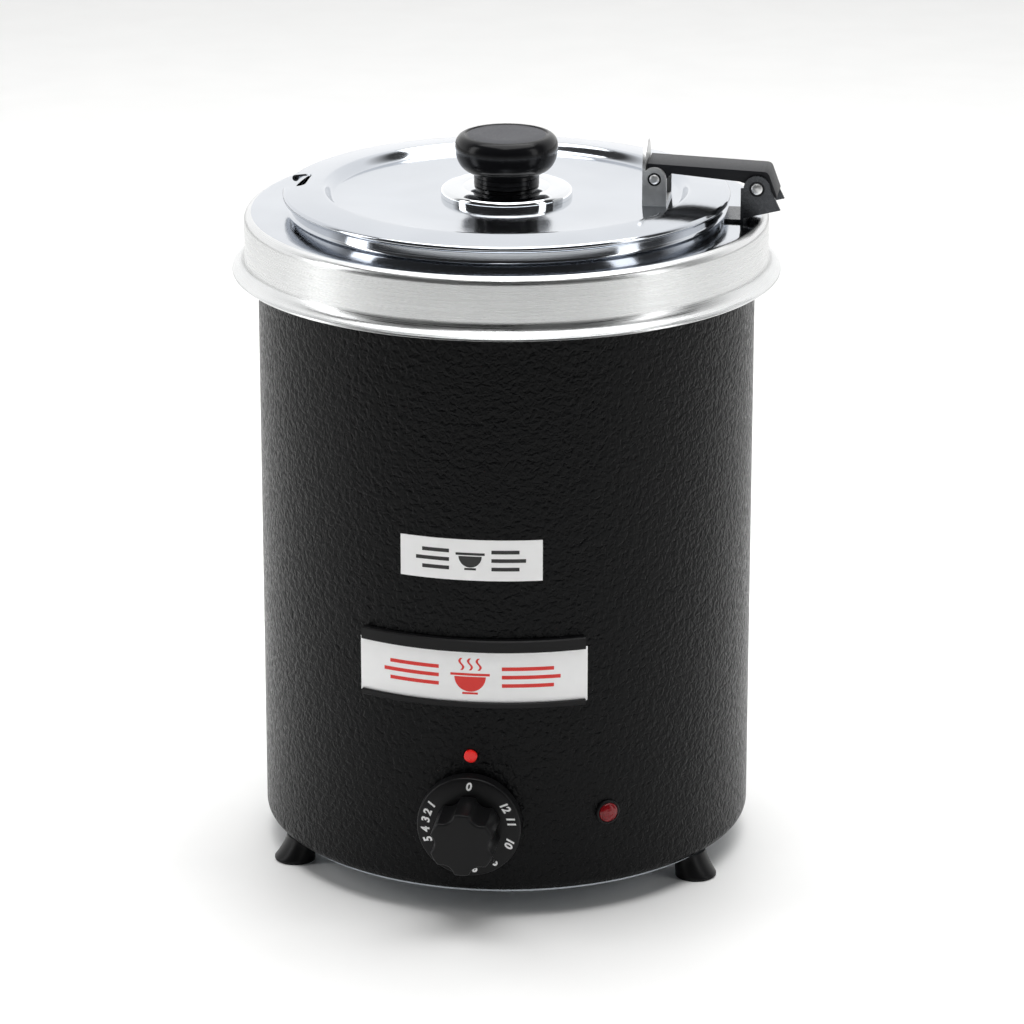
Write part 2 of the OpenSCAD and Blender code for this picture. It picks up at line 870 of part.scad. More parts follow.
// lid ring: lip, flare, skirt, shoulder, flat top and collar
module lid_ring() {
    skirt_out_r = skirt_r + sheet;
    shoulder_z = ring_top_z - shoulder_r;
    flare_z = ring_top_z - skirt_h + flare_r;
    color("#d9dcde")
        rotate_extrude() {
            bend([skirt_out_r + flare_r, flare_z], flare_r, flare_r + sheet, 180);
            translate([skirt_r, flare_z])
                square([sheet, shoulder_z - flare_z]);
            bend([skirt_out_r - shoulder_r, shoulder_z], shoulder_r - sheet, shoulder_r, 0);
            translate([collar_r + collar_fillet, ring_top_z - sheet])
                square([skirt_out_r - shoulder_r - collar_r - collar_fillet, sheet]);
            bend([collar_r + collar_fillet, ring_top_z + collar_fillet], collar_fillet, collar_fillet + sheet, 180);
            translate([collar_r - sheet, ring_top_z + collar_fillet])
                square([sheet, collar_h - collar_fillet]);
        }
}

// outline of an ear: round head about the pin, standing on the given foot points
module ear(pin, head_r, hole_r, foot_points) {
    difference() {
        union() {
            translate(pin)
                circle(r = head_r);
            polygon(foot_points);
        }
        translate(pin)
            circle(r = hole_r);
    }
}

// two copies of an XZ outline, as plates on both sides of the arm
module both_ears() {
    for (y = [-ear_in, ear_out])
        translate([0, y, 0])
            rotate([90, 0, 0])
                linear_extrude(bracket_t)
                    children();
}

module ring_bracket() {
    foot_x = collar_r + collar_fillet + 0.6;
    corner_x = ring_pin_x + 11.3;
    color("#c4c8cb")
        union() {
            both_ears()
                ear([ring_pin_x, ring_pin_z], ring_ear_r, ring_boss_r + run_gap, [
                    [ring_web_x, ring_pin_z],
                    [ring_web_x, ring_pin_z - 15],
                    [ring_web_x + 2.3, ring_pin_z - 14.2],
                    [corner_x, ring_pin_z - 10],
                    [ring_pin_x + ring_ear_r, ring_pin_z]
                ]);
            translate([ring_web_x, -ear_out, ring_top_z])
                cube([bracket_t, 2 * ear_out, ring_web_top_z - ring_top_z]);
            translate([foot_x, -ear_out, ring_top_z])
                cube([ring_web_x + bracket_t - foot_x, 2 * ear_out, bracket_t]);
        }
}

// side outline of the arm, in X and Z; its end slopes outwards on the way down
module arm_outline() {
    corner = [arm_end_x - arm_end_round * tan(45 - arm_end_slope / 2), arm_end_z - arm_end_round];
    tangent = corner + arm_end_round * [cos(arm_end_slope), sin(arm_end_slope)];
    polygon([
        [arm_start_x, lid_pin_z - 3],
        [lid_pin_x + 4, lid_pin_z - 3],
        [lid_pin_x + 7, arm_start_z - arm_side],
        [ring_pin_x - 7, arm_end_z - arm_side],
        [ring_pin_x, arm_toe[1]],
        arm_toe,
        tangent,
        [corner[0], arm_end_z],
        [arm_start_x, arm_start_z]
    ]);
    translate(corner)
        circle(r = arm_end_round);
    translate([ring_pin_x, ring_pin_z])
        circle(r = 6);
    intersection() {
        translate([lid_pin_x, lid_pin_z])
            circle(r = 5.4);
        translate([arm_start_x, lid_pin_z - 10])
            square([20, 20]);
    }
}

// black inverted channel with a boss at each pin
module hinge_arm() {
    inner_w = arm_w - 2 * arm_wall;
    roof_a = [arm_start_x + arm_wall, arm_start_z - arm_wall];
    roof_b = [arm_end_x - arm_wall, arm_end_z - arm_wall];
    floor_z = ring_pin_z - 20;
    floor_x = roof_b[0] + (roof_b[1] - floor_z) * tan(arm_end_slope);
    color("#2e2f31")
        difference() {
            union() {
                difference() {
                    translate([0, arm_w / 2, 0])
                        rotate([90, 0, 0])
                            linear_extrude(arm_w)
                                arm_outline();
                    translate([0, inner_w / 2, 0])
                        rotate([90, 0, 0])
                            linear_extrude(inner_w)
                                polygon([[roof_a[0], floor_z], [floor_x, floor_z], roof_b, roof_a]);
                }
                pin_tube([lid_pin_x, lid_pin_z], lid_boss_r, ear_out - 0.1);
                pin_tube([ring_pin_x, ring_pin_z], ring_boss_r, ear_out - 0.1);
            }
            pin_tube([lid_pin_x, lid_pin_z], lid_pin_r + 0.02, ear_out + 5);
            pin_tube([ring_pin_x, ring_pin_z], ring_pin_r + 0.02, ear_out + 5);
        }
}

// cylinder along Y about a pin's axis
module pin_tube(pin, r, half_length) {
    translate([pin[0], half_length, pin[1]])
        rotate([90, 0, 0])
            cylinder(r = r, h = 2 * half_length);
}

// pin with a domed end on each side
module pin_with_domes(pin, r) {
    dome_h = 0.7;
    dome_r = (r * r + dome_h * dome_h) / (2 * dome_h);
    pin_tube(pin, r, ear_out);
    for (s = [-1, 1])
        intersection() {
            pin_tube(pin, r, ear_out + dome_h);
            translate([pin[0], s * (ear_out + dome_h - dome_r), pin[1]])
                sphere(r = dome_r);
        }
}

module ring_pin() {
    color("#d9dcde") pin_with_domes([ring_pin_x, ring_pin_z], ring_pin_r);
}

module lid_pin() {
    color("#d9dcde") pin_with_domes([lid_pin_x, lid_pin_z], lid_pin_r);
}

// lid

// smooth rise from the sunk panel to the rolled rim, 0 to 1
function lid_rise(t) = (1 - cos(180 * t)) / 2;
function rise_point(i, drop) =
    let (t = i / lid_rise_steps)
    [panel_r + (lid_rise_end_r - panel_r) * t, panel_z + (lid_crest_z - panel_z) * lid_rise(t) - drop];

module lid() {
    color("#dcdfe1")
        difference() {
            rotate_extrude() {
                polygon(concat(
                    [[0, panel_z - sheet]],
                    [for (i = [0:lid_rise_steps]) rise_point(i, sheet)],
                    [for (i = [lid_rise_steps:-1:0]) rise_point(i, 0)],
                    [[0, panel_z]]
                ));
                translate([lid_roll_ring_r, lid_roll_z])
                    circle(r = lid_roll_r);
            }
            translate([0, 0, panel_z - 5])
                cylinder(r = knob_screw_r + hole_gap, h = 10);
            ladle_notch();
        }
}

// rounded slot through the rim, on the side away from the hinge
module ladle_notch() {
    corner = 4;
    translate([-lid_r, 0, panel_z - 5])
        linear_extrude(20) {
            translate([-2, -notch_w / 2])
                square([notch_depth + 2 - corner, notch_w]);
            for (s = [-1, 1])
                translate([notch_depth - corner, s * (notch_w / 2 - corner)])
                    circle(r = corner);
            translate([0, -notch_w / 2 + corner])
                square([notch_depth, notch_w - 2 * corner]);
        }
}

module lid_bracket() {
    color("#c4c8cb")
        union() {
            both_ears()
                ear([lid_pin_x, lid_pin_z], lid_ear_r, lid_boss_r + run_gap, [
                    [lid_web_x, panel_z],
                    [lid_web_x + 2 * lid_ear_r, panel_z],
                    [lid_web_x + 2 * lid_ear_r, lid_pin_z],
                    [lid_web_x, lid_pin_z]
                ]);
            translate([lid_web_x, 0, 0])
                rotate([90, 0, 90])
                    linear_extrude(bracket_t) {
                        translate([-ear_out, panel_z])
                            square([2 * ear_out, lid_web_top_z - ear_out - panel_z]);
                        translate([0, lid_web_top_z - ear_out])
                            circle(r = ear_out);
                    }
            translate([lid_web_x, -ear_out, panel_z])
                cube([2 * lid_ear_r, 2 * ear_out, bracket_t]);
        }
}

// lid knob

module knob_washer() {
    edge_r = 3;
    color("#e1e3e5")
        difference() {
            rotate_extrude() {
                translate([washer_r - sheet, panel_z])
                    square([sheet, washer_h - edge_r]);
                bend([washer_r - edge_r, washer_top_z - edge_r], edge_r - sheet, edge_r, 0);
                translate([0, washer_top_z - sheet])
                    square([washer_r - edge_r, sheet]);
                translate([0, panel_z])
                    square([8, washer_h - sheet + eps]);
            }
            translate([0, 0, panel_z - 5])
                cylinder(r = knob_screw_r + hole_gap, h = 20);
        }
}

// mushroom knob: neck, swelling side and flat top
module lid_knob() {
    neck_h = 7;
    widest_z = washer_top_z + knob_h - 6;
    top_z = washer_top_z + knob_h;
    color("#1a1a1c")
        difference() {
            rotate_extrude()
                polygon(concat(
                    [[0, washer_top_z], [knob_neck_r, washer_top_z], [knob_neck_r, washer_top_z + neck_h]],
                    [for (a = [10:10:90])
                        [knob_neck_r + (knob_r - knob_neck_r) * sin(a),
                            widest_z - (widest_z - washer_top_z - neck_h) * cos(a)]],
                    [for (a = [15:15:90])
                        [knob_r - (knob_r - knob_top_r) * (1 - cos(a)), widest_z + (top_z - widest_z) * sin(a)]],
                    [[0, top_z]]
                ));
            translate([0, 0, washer_top_z - 1])
                cylinder(r = knob_screw_r + run_gap, h = 14);
        }
}

module knob_screw() {
    color("#c9cbce")
        translate([0, 0, panel_z - sheet])
            rotate([180, 0, 0])
                screw(knob_screw_r, sheet + washer_h + 12, 4.6, 3);
}

outer_housing();
base_plate();
base_screws();
foot_left();
foot_right();
foot_rear();
foot_screws();
water_well();
heating_element();
element_clamp();
clamp_studs();
clamp_nuts();
thermostat_bracket();
thermostat_body();
thermostat_screws();
thermostat_shaft();
thermostat_bulb();
bulb_clip();
capillary();
control_dial();
lamp_bezel();
lamp_lens();
lamp_clip();
indicator();
label_holder();
label_card();
name_plate();
gland_body();
gland_dome_nut();
gland_lock_nut();
terminal_block();
wiring();
insert_pot();
lid_ring();
ring_bracket();
ring_pin();
hinge_arm();
lid_pin();
lid();
lid_bracket();
knob_washer();
lid_knob();
knob_screw();
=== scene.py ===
"""Looks of an electric soup kettle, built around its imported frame. Lengths are in metres."""

import functools
import json
import math
from math import cos, pi, radians, sin

import bmesh
import bpy
from mathutils import Matrix, Vector


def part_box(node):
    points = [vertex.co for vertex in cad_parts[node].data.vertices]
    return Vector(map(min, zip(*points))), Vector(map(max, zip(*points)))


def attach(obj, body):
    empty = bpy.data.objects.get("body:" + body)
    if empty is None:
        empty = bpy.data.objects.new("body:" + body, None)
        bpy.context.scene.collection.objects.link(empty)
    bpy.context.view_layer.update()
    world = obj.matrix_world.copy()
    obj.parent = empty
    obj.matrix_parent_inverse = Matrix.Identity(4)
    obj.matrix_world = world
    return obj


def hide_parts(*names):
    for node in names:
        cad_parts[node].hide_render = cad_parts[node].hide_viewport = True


bl_info = {
    "name": "Soup Kettle",
    "version": (1, 0, 0),
    "blender": (4, 5, 0),
    "location": "View3D > Sidebar > Kettle",
    "description": "Builds the visible pieces and finishes of a soup kettle around its frame",
    "category": "Add Mesh",
}

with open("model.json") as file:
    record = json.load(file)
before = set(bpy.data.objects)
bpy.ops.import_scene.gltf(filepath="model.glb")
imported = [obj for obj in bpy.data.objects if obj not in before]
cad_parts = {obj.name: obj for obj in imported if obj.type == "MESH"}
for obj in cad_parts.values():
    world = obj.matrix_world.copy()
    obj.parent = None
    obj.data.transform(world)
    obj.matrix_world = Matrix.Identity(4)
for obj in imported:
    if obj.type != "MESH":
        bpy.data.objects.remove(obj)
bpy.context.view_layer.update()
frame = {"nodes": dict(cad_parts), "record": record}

MM = 0.001
UP = Vector((0, 0, 1))
VIEW_AZIMUTH = radians(8.1)
BODY_OF = {node: body for body, nodes in frame["record"]["behaviour"]["bodies"].items() for node in nodes}


# ---- sizes and colours


def linear(hex_text):
    """Linear colour of an sRGB hex value."""
    parts = [int(hex_text[i:i + 2], 16) / 255 for i in (1, 3, 5)]
    return [c / 12.92 if c <= 0.04045 else ((c + 0.055) / 1.055) ** 2.4 for c in parts] + [1.0]


def length(name, description, default):
    return bpy.props.FloatProperty(name=name, description=description, default=default, unit="LENGTH")


def colour(name, description, default):
    return bpy.props.FloatVectorProperty(
        name=name, description=description, default=linear(default), size=4, subtype="COLOR", min=0, max=1)


class KettleSizes(bpy.types.PropertyGroup):
    segments: bpy.props.IntProperty(
        name="Segments", description="Segments of the large turned pieces", default=160, min=48, max=256)
    sheet: length("Sheet", "Thickness of the stainless sheet", 1.0 * MM)
    housing_wall: length("Housing wall", "Thickness of the painted housing", 1.2 * MM)
    edge_round: length("Edge round", "Rounding of moulded and pressed edges", 0.5 * MM)
    wrinkle: length("Wrinkle", "Width of a wrinkle in the powder coat", 2.6 * MM)
    brush_line: length("Brush line", "Spacing of the brushing, drawn coarse enough to show", 0.5 * MM)
    number_height: length("Number height", "Height of the dial's numbers", 4.0 * MM)


class KettleColours(bpy.types.PropertyGroup):
    powder_coat: colour("Powder coat", "Black of the housing", "#0f1011")
    stainless: colour("Stainless", "Brushed and drawn stainless steel", "#dcdddd")
    buffed: colour("Buffed stainless", "Buffed stainless steel of the lid and the ring's top", "#c5c9cf")
    chrome: colour("Chrome", "Chrome plating", "#dfe1e3")
    # The knob top's lighter grey is painted light from above
    phenolic: colour("Phenolic", "Black of the knob", "#131315")
    knob_top: colour("Knob top", "Grey-black of the knob's matt top", "#333439")
    moulded_black: colour("Moulded black", "Black of the dial, feet and gland", "#141415")
    arm_black: colour("Arm black", "Black of the hinge arm", "#222326")
    card_white: colour("Card white", "White of the name plate and the label card", "#fafafa")
    print_black: colour("Print black", "Black print on the name plate", "#141414")
    print_red: colour("Print red", "Red print on the label card", "#e02418")
    indicator_red: colour("Indicator red", "Red of the indicator", "#ff1a12")
    lamp_red: colour("Lamp red", "Red of the pilot lamp's lens", "#7a1218")


# ---- outlines


def arc(x, z, radius, start, end, steps=8):
    """Points of an arc about (x, z), angles in degrees."""
    angles = [radians(start + (end - start) * i / steps) for i in range(steps + 1)]
    return [(x + radius * cos(a), z + radius * sin(a)) for a in angles]


def sheet_outline(path, thickness):
    """Closed outline of a sheet whose one face follows the path; positive thickness lies to the path's left."""
    points = [Vector(p) for i, p in enumerate(path) if i == 0 or (Vector(p) - Vector(path[i - 1])).length > 1e-7]
    back = []
    for i, p in enumerate(points):
        before = (p - points[i - 1]).normalized() if i > 0 else (points[1] - p).normalized()
        after = (points[i + 1] - p).normalized() if i < len(points) - 1 else before
        mean = (before + after).normalized()
        reach = thickness / max(0.5, mean.dot(after))
        back.append(p + reach * Vector((-mean.y, mean.x)))
    for p in back:
        p.x = max(p.x, 0)
    start_cap = (points[0] + back[0]) / 2 + (points[0] - points[1]).normalized() * abs(thickness) * 0.3
    end_cap = (points[-1] + back[-1]) / 2 + (points[-1] - points[-2]).normalized() * abs(thickness) * 0.3
    loop = points + [end_cap] + back[::-1]
    if points[0].x > 1e-6:
        loop.append(start_cap)
    return [tuple(p) for p in loop] + [tuple(loop[0])]


def near(x, z, *steps):
    """Points at steps in millimetres from (x, z)."""
    return [(x + dx * MM, z + dz * MM) for dx, dz in steps]


# ---- modelling helpers


def deselect():
    bpy.ops.object.select_all(action="DESELECT")


def edit():
    bpy.ops.object.mode_set(mode="EDIT")


def select_mesh():
    bpy.ops.mesh.select_all(action="SELECT")


def extrude(step):
    bpy.ops.mesh.extrude_region_move(TRANSFORM_OT_translate={"value": step})


def active(name):
    """The active object, out of edit mode, under a new name."""
    if bpy.context.mode != "OBJECT":
        bpy.ops.object.mode_set(mode="OBJECT")
    obj = bpy.context.object
    obj.name = obj.data.name = name
    return obj


def trace(points, closed=False):
    """Edges through the points, grown from one vertex; left in edit mode."""
    deselect()
    bpy.ops.mesh.primitive_plane_add(size=MM, location=points[0])
    edit()
    select_mesh()
    bpy.ops.mesh.merge(type="CENTER")
    for a, b in zip(points, points[1:]):
        bpy.ops.mesh.extrude_vertices_move(TRANSFORM_OT_translate={"value": Vector(b) - Vector(a)})
    select_mesh()
    if closed:
        bpy.ops.mesh.remove_doubles(threshold=1e-6)
        select_mesh()
        bpy.ops.mesh.edge_face_add()


def clean():
    """Merges doubles and turns the faces of a closed shape outwards; in edit mode."""
    select_mesh()
    bpy.ops.mesh.remove_doubles(threshold=1e-6)
    select_mesh()
    bpy.ops.mesh.normals_make_consistent(inside=False)


def turned(name, outline, segments=None, degrees=360, start=0):
    """Solid made by spinning a closed outline of (radius, height) points about a vertical axis."""
    a = radians(start)
    points = [(r * cos(a), r * sin(a), z) for r, z in outline]
    whole = degrees == 360
    trace(points, closed=not whole)
    select_mesh()
    bpy.ops.mesh.spin(
        steps=segments or sizes().segments, angle=radians(degrees), center=(0, 0, 0), axis=(0, 0, 1),
        use_auto_merge=whole)
    if not whole:
        select_mesh()
        bpy.ops.mesh.fill_holes(sides=0)
    clean()
    return active(name)


def plate(name, outline, depth, centre=0.0):
    """Flat plate with an outline of (x, z) points, standing across Y."""
    trace([(x, centre + depth / 2, z) for x, z in outline], closed=True)
    extrude((0, -depth, 0))
    clean()
    return active(name)


def apply_modifier(obj, kind, **settings):
    bpy.context.view_layer.objects.active = obj
    modifier = obj.modifiers.new(kind.title(), kind)
    for key, value in settings.items():
        setattr(modifier, key, value)
    bpy.ops.object.modifier_apply(modifier=modifier.name)
    return obj


def combine(obj, tool, operation):
    """Cuts, joins or intersects obj with a tool, which is used up."""
    apply_modifier(obj, "BOOLEAN", object=tool, operation=operation, solver="EXACT")
    bpy.data.objects.remove(tool)
    return obj


def rounded(obj, width, segments=3, degrees=40):
    return apply_modifier(
        obj, "BEVEL", width=width, segments=segments, limit_method="ANGLE", angle_limit=radians(degrees))


def settled(obj):
    """Puts the object's place into its mesh, so that its origin is the world's."""
    deselect()
    obj.select_set(True)
    bpy.context.view_layer.objects.active = obj
    bpy.ops.object.transform_apply(location=True, rotation=True, scale=True)
    return obj


def placed(obj, location=(0, 0, 0), rotation=(0, 0, 0)):
    """Turns obj and then moves it from where it stands."""
    settled(obj)
    obj.rotation_euler = rotation
    obj.location = location
    return settled(obj)


def rod(name, radius, half, x, z, vertices=48):
    """Cylinder along Y about (x, z)."""
    deselect()
    bpy.ops.mesh.primitive_cylinder_add(
        vertices=vertices, radius=radius, depth=2 * half, location=(x, 0, z), rotation=(pi / 2, 0, 0))
    return settled(active(name))


def joined(objects, name):
    deselect()
    for obj in objects:
        obj.select_set(True)
    bpy.context.view_layer.objects.active = objects[0]
    bpy.ops.object.join()
    return active(name)


def finish_piece(obj, finish_name, node, replaces=True, smooth=35):
    """Shades a piece, gives it its finish, and ties it to the body of a node that it replaces or goes with."""
    settled(obj)
    bpy.ops.object.shade_smooth_by_angle(angle=radians(smooth))
    obj.data.materials.clear()
    obj.data.materials.append(finish(finish_name))
    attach(obj, BODY_OF[node])
    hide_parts(*([node] if replaces else []))
    return obj


def spun(name, path, thickness, finish_name, node):
    """Sheet spun along a path of (radius, height) points, in place of a node."""
    shell = turned(name, sheet_outline(path, thickness))
    return finish_piece(shell, finish_name, node)


def assign(obj, finish_name, test):
    """Gives the faces whose centre passes the test a second finish."""
    obj.data.materials.append(finish(finish_name))
    index = len(obj.data.materials) - 1
    for face in obj.data.polygons:
        if test(face.center):
            face.material_index = index


# ---- material helpers


def add(tree, kind, links=None, **settings):
    """Adds a node with its settings, socket values and links; a node in links gives its first live output."""
    node = tree.nodes.new("ShaderNode" + kind)
    for key, value in settings.items():
        setattr(node, key, value)
    for key, value in (links or {}).items():
        if isinstance(value, bpy.types.Node):
            value = next(socket for socket in value.outputs if socket.enabled)
        if isinstance(value, bpy.types.NodeSocket):
            tree.links.new(value, node.inputs[key])
        else:
            node.inputs[key].default_value = value
    return node


def new_material(name):
    """An empty material; returns it, its tree and the Object coordinates."""
    material = bpy.data.materials.new(name)
    material.use_nodes = True
    tree = material.node_tree
    tree.nodes.clear()
    return material, tree, add(tree, "TexCoord").outputs["Object"]


def darker(base, share):
    return (base[0] * share, base[1] * share, base[2] * share, 1)


def tones():
    return bpy.context.scene.kettle_colours


def sizes():
    return bpy.context.scene.kettle_sizes


def hammered_surface(name, hollow_shade, roughness, bump, pore_bump):
    """Wrinkled coat: one noise gives its wrinkles, its roughness and a painted shade in their hollows, and a finer one
    its pores.
    """
    material, tree, place = new_material(name)
    wrinkles = add(tree, "TexNoise", {
        "Vector": place, "Scale": 1 / sizes().wrinkle, "Detail": 2.0, "Roughness": 0.5, "Distortion": 0.6})
    pores = add(tree, "TexNoise", {"Vector": place, "Scale": 4 / sizes().wrinkle, "Detail": 2.0})
    rough = add(tree, "MapRange", {
        "Value": wrinkles, "From Min": 0.35, "From Max": 0.65, "To Min": roughness[0], "To Max": roughness[1]})
    # Painted shade: the colour darkens where the wrinkles dip
    tone = add(tree, "Mix", {
        0: wrinkles, 6: linear(hollow_shade), 7: tones().powder_coat}, data_type="RGBA")
    coarse = add(tree, "Bump", {"Height": wrinkles, "Strength": 1.0, "Distance": bump * MM})
    fine = add(tree, "Bump", {
        "Height": pores, "Strength": 0.3, "Distance": pore_bump * MM, "Normal": coarse})
    shader = add(tree, "BsdfPrincipled", {
        "Base Color": tone, "Roughness": rough, "Normal": fine, "IOR": 1.5, "Specular IOR Level": 0.1})
    add(tree, "OutputMaterial", {"Surface": shader})
    return material


def grained_surface(name, base, roughness, spread, grain, bump, sockets):
    """Surface with one grain: its noise drives bump and roughness, and a broader one its tone."""
    material, tree, place = new_material(name)
    noise = add(tree, "TexNoise", {
        "Vector": place, "Scale": 1 / (grain * MM), "Detail": 4.0, "Roughness": 0.55})
    broad = add(tree, "TexNoise", {"Vector": place, "Scale": 1 / (grain * MM * 18), "Detail": 2.0})
    rough = add(tree, "MapRange", {
        "Value": noise, "From Min": 0.3, "From Max": 0.7,
        "To Min": max(0.02, roughness - spread), "To Max": roughness + spread})
    tone = add(tree, "MapRange", {
        "Value": broad, "From Min": 0.3, "From Max": 0.7, "To Min": 0.86, "To Max": 1.0})
    mix = add(tree, "Mix", {6: darker(base, 0.8), 7: base, 0: tone}, data_type="RGBA")
    lift = add(tree, "Bump", {"Height": noise, "Strength": 0.5, "Distance": bump * MM})
    shader = add(tree, "BsdfPrincipled", {
        "Base Color": mix, "Roughness": rough, "Normal": lift, **sockets})
    add(tree, "OutputMaterial", {"Surface": shader})
    return material


def turned_surface(name, base, roughness, line_bump, wave_bump, wave_dip_shade):
    """Metal spun or rolled about the vertical axis: fine lines run round it, and its sheet waves a little, with a
    painted shade darkening the dips of its waves.
    """
    material, tree, place = new_material(name)
    flat = add(tree, "VectorMath", {0: place, 1: (1, 1, 0)}, operation="MULTIPLY")
    radius = add(tree, "VectorMath", {0: flat}, operation="LENGTH")
    split = add(tree, "SeparateXYZ", {0: place})
    drift = add(tree, "Math", {0: split, 1: 0.015}, operation="MULTIPLY")
    across = add(tree, "CombineXYZ", {0: radius, 1: split.outputs["Z"], 2: drift})
    lines = add(tree, "TexNoise", {
        "Vector": across, "Scale": 1 / sizes().brush_line, "Detail": 3.0, "Roughness": 0.6})
    tall = add(tree, "Mapping", {"Vector": place, "Scale": (1, 1, 0.25)})
    waves = add(tree, "TexNoise", {"Vector": tall, "Scale": 30.0, "Detail": 1.5})
    rough = add(tree, "MapRange", {
        "Value": lines, "From Min": 0.3, "From Max": 0.7, "To Min": roughness * 0.7, "To Max": roughness * 1.35})
    # Painted shade: where the sheet's waves dip, the colour falls towards less than half of its base
    tone = add(tree, "MapRange", {
        "Value": waves, "From Min": 0.35, "From Max": 0.7, "To Min": 1 - wave_dip_shade, "To Max": 1.0})
    shade = add(tree, "Mix", {
        0: tone, 6: (base[0] * 0.45, base[1] * 0.45, base[2] * 0.46, 1), 7: base}, data_type="RGBA")
    wave_lift = add(tree, "Bump", {"Height": waves, "Strength": 1.0, "Distance": wave_bump * MM})
    lift = add(tree, "Bump", {
        "Height": lines, "Strength": 0.3, "Distance": line_bump * MM, "Normal": wave_lift})
    shader = add(tree, "BsdfPrincipled", {
        "Base Color": shade, "Roughness": rough, "Normal": lift, "Metallic": 1.0})
    add(tree, "OutputMaterial", {"Surface": shader})
    return material


# ---- finishes

METAL = {"Metallic": 1.0}
FAINT_SHEEN = {"IOR": 1.5, "Specular IOR Level": 0.16}
INK = {"IOR": 1.5}

# Finishes turned about the vertical axis: colour, roughness, bumps of the lines and the waves in millimetres,
# and how strongly a painted shade darkens the dips of the sheet's waves
TURNED = {
    # Deep-drawn stainless sheet, belt-brushed round its skirt: bright, with faint level lines
    "brushed_stainless": ("stainless", 0.28, 0.03, 0.5, 0.12),
    # Stainless sheet buffed after spinning: a soft mirror with faint rings
    "polished_stainless": ("buffed", 0.10, 0.012, 0.12, 0.1),
    # Drawn stainless of the pot and the well: duller than the lid
    "drawn_stainless": ("stainless", 0.26, 0.04, 0.3, 0.2),
    # Chromium over polished nickel: a hard mirror
    "chrome_plate": ("chrome", 0.05, 0.004, 0.03, 0.05),
}

# Finishes with one grain: colour, roughness and its spread, width and bump of the grain in millimetres, and
# other sockets
GRAINED = {
    # Stainless strip, tumbled after pressing: bright, with small dull patches
    "pressed_stainless": ("stainless", 0.42, 0.06, 2.2, 0.02, METAL),
    # The ring bracket's strip: satin, with its dark grey a painted reflection of the dark surroundings it faces
    "smoked_strip": ("#4c4e51", 0.28, 0.08, 1.4, 0.03, METAL),
    # Steel with bright zinc: bluish, with a fine crystal bloom
    "zinc_plated_steel": ("#a9afb5", 0.34, 0.1, 1.2, 0.03, METAL),
    # Drawn copper tube, slightly tarnished
    "drawn_copper": ("#b87a4a", 0.30, 0.1, 1.0, 0.02, METAL),
    # Phenolic resin from a polished mould: glossy black
    "moulded_phenolic": ("phenolic", 0.2, 0.03, 1.5, 0.012, FAINT_SHEEN),
    # The knob's top, faced on a lathe: matt, and painted a lighter grey-black for the light that falls on it from above
    "turned_phenolic": ("knob_top", 0.42, 0.08, 0.6, 0.03, FAINT_SHEEN),
    # Glass-filled nylon from a fine-sparked mould: satin black
    "moulded_nylon": ("moulded_black", 0.34, 0.06, 0.5, 0.03, FAINT_SHEEN),
    # The hinge arm's nylon, a shade lighter and duller than the other black mouldings
    "moulded_arm_nylon": ("arm_black", 0.42, 0.08, 0.6, 0.04, FAINT_SHEEN),
    # Coated card: white, with a slight sheen
    "white_card": ("card_white", 0.38, 0.05, 0.4, 0.006, INK),
    # Black screen-printing ink, a thin satin layer on the card
    "black_ink": ("print_black", 0.4, 0.05, 0.4, 0.004, INK),
    # Red screen-printing ink, a thin satin layer on the card
    "red_ink": ("print_red", 0.4, 0.05, 0.4, 0.004, INK),
    # White paint filled into the dial's numbers: dull
    "number_paint": ("card_white", 0.5, 0.05, 0.3, 0.006, INK),
    # Bright red acetal button: satin
    "red_acetal": ("indicator_red", 0.3, 0.05, 0.6, 0.01, {"IOR": 1.48}),
    # Deep red polycarbonate over an unlit lamp: dark and glossy, with a pebbled inner face
    "lamp_polycarbonate": ("lamp_red", 0.14, 0.04, 1.3, 0.12, {"IOR": 1.585, "Specular IOR Level": 0.3}),
    # Resistance foil between mica sheets: brown-gold and flaky
    "mica_foil": ("#b9a27a", 0.4, 0.1, 2.5, 0.08, {"Metallic": 0.6}),
    # Unfilled nylon of switch and terminal bodies: ivory and dull
    "pale_nylon": ("#ece9e0", 0.45, 0.06, 0.7, 0.02, {"IOR": 1.53}),
    # Red silicone insulation of heat-proof wires: soft and matt
    "silicone_insulation": ("#c8322c", 0.5, 0.08, 0.6, 0.02, {"IOR": 1.41}),
    # Matt painted board under the kettle
    "pale_floor": ("#fcfcfb", 0.55, 0.05, 3, 0.01, {}),
}


@functools.cache
def finish(name):
    """The named material, made once."""
    if name == "hammered_powder_coat":
        # Black powder coat, baked to a wrinkled hammer finish: satin, with small glints along its wrinkles and a
        # painted shade darkening their hollows
        return hammered_surface(name, "#060607", (0.22, 0.40), 0.9, 0.15)
    colour_name, *settings = TURNED[name] if name in TURNED else GRAINED[name]
    base = linear(colour_name) if colour_name[0] == "#" else getattr(tones(), colour_name)
    return (turned_surface if name in TURNED else grained_surface)(name, base, *settings)


# ---- measures taken from the frame


def low(node):
    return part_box(node)[0]


def high(node):
    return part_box(node)[1]


def middle(node):
    return (low(node) + high(node)) / 2


# ---- operators


class PieceOperator:
    """Shared setting of the operators that make pieces."""

    bl_options = {"REGISTER", "UNDO"}


class KETTLE_OT_housing(PieceOperator, bpy.types.Operator):
    """Painted housing: a rolled wall with a rounded foot and a flange turned in"""

    bl_idname = "kettle.housing"
    bl_label = "Housing"

    def execute(self, context):
        radius = high("outer_housing").x
        bottom, top = low("outer_housing").z, high("outer_housing").z
        turn, flange = 5 * MM, 20 * MM
        path = [(radius, top), (radius, (top + bottom) / 2), (radius, bottom + turn)]
        path += arc(radius - turn, bottom + turn, turn, 0, -90)[1:] + [(radius - flange, bottom)]
        spun("housing_shell", path, -sizes().housing_wall, "hammered_powder_coat", "outer_housing")
        return {"FINISHED"}


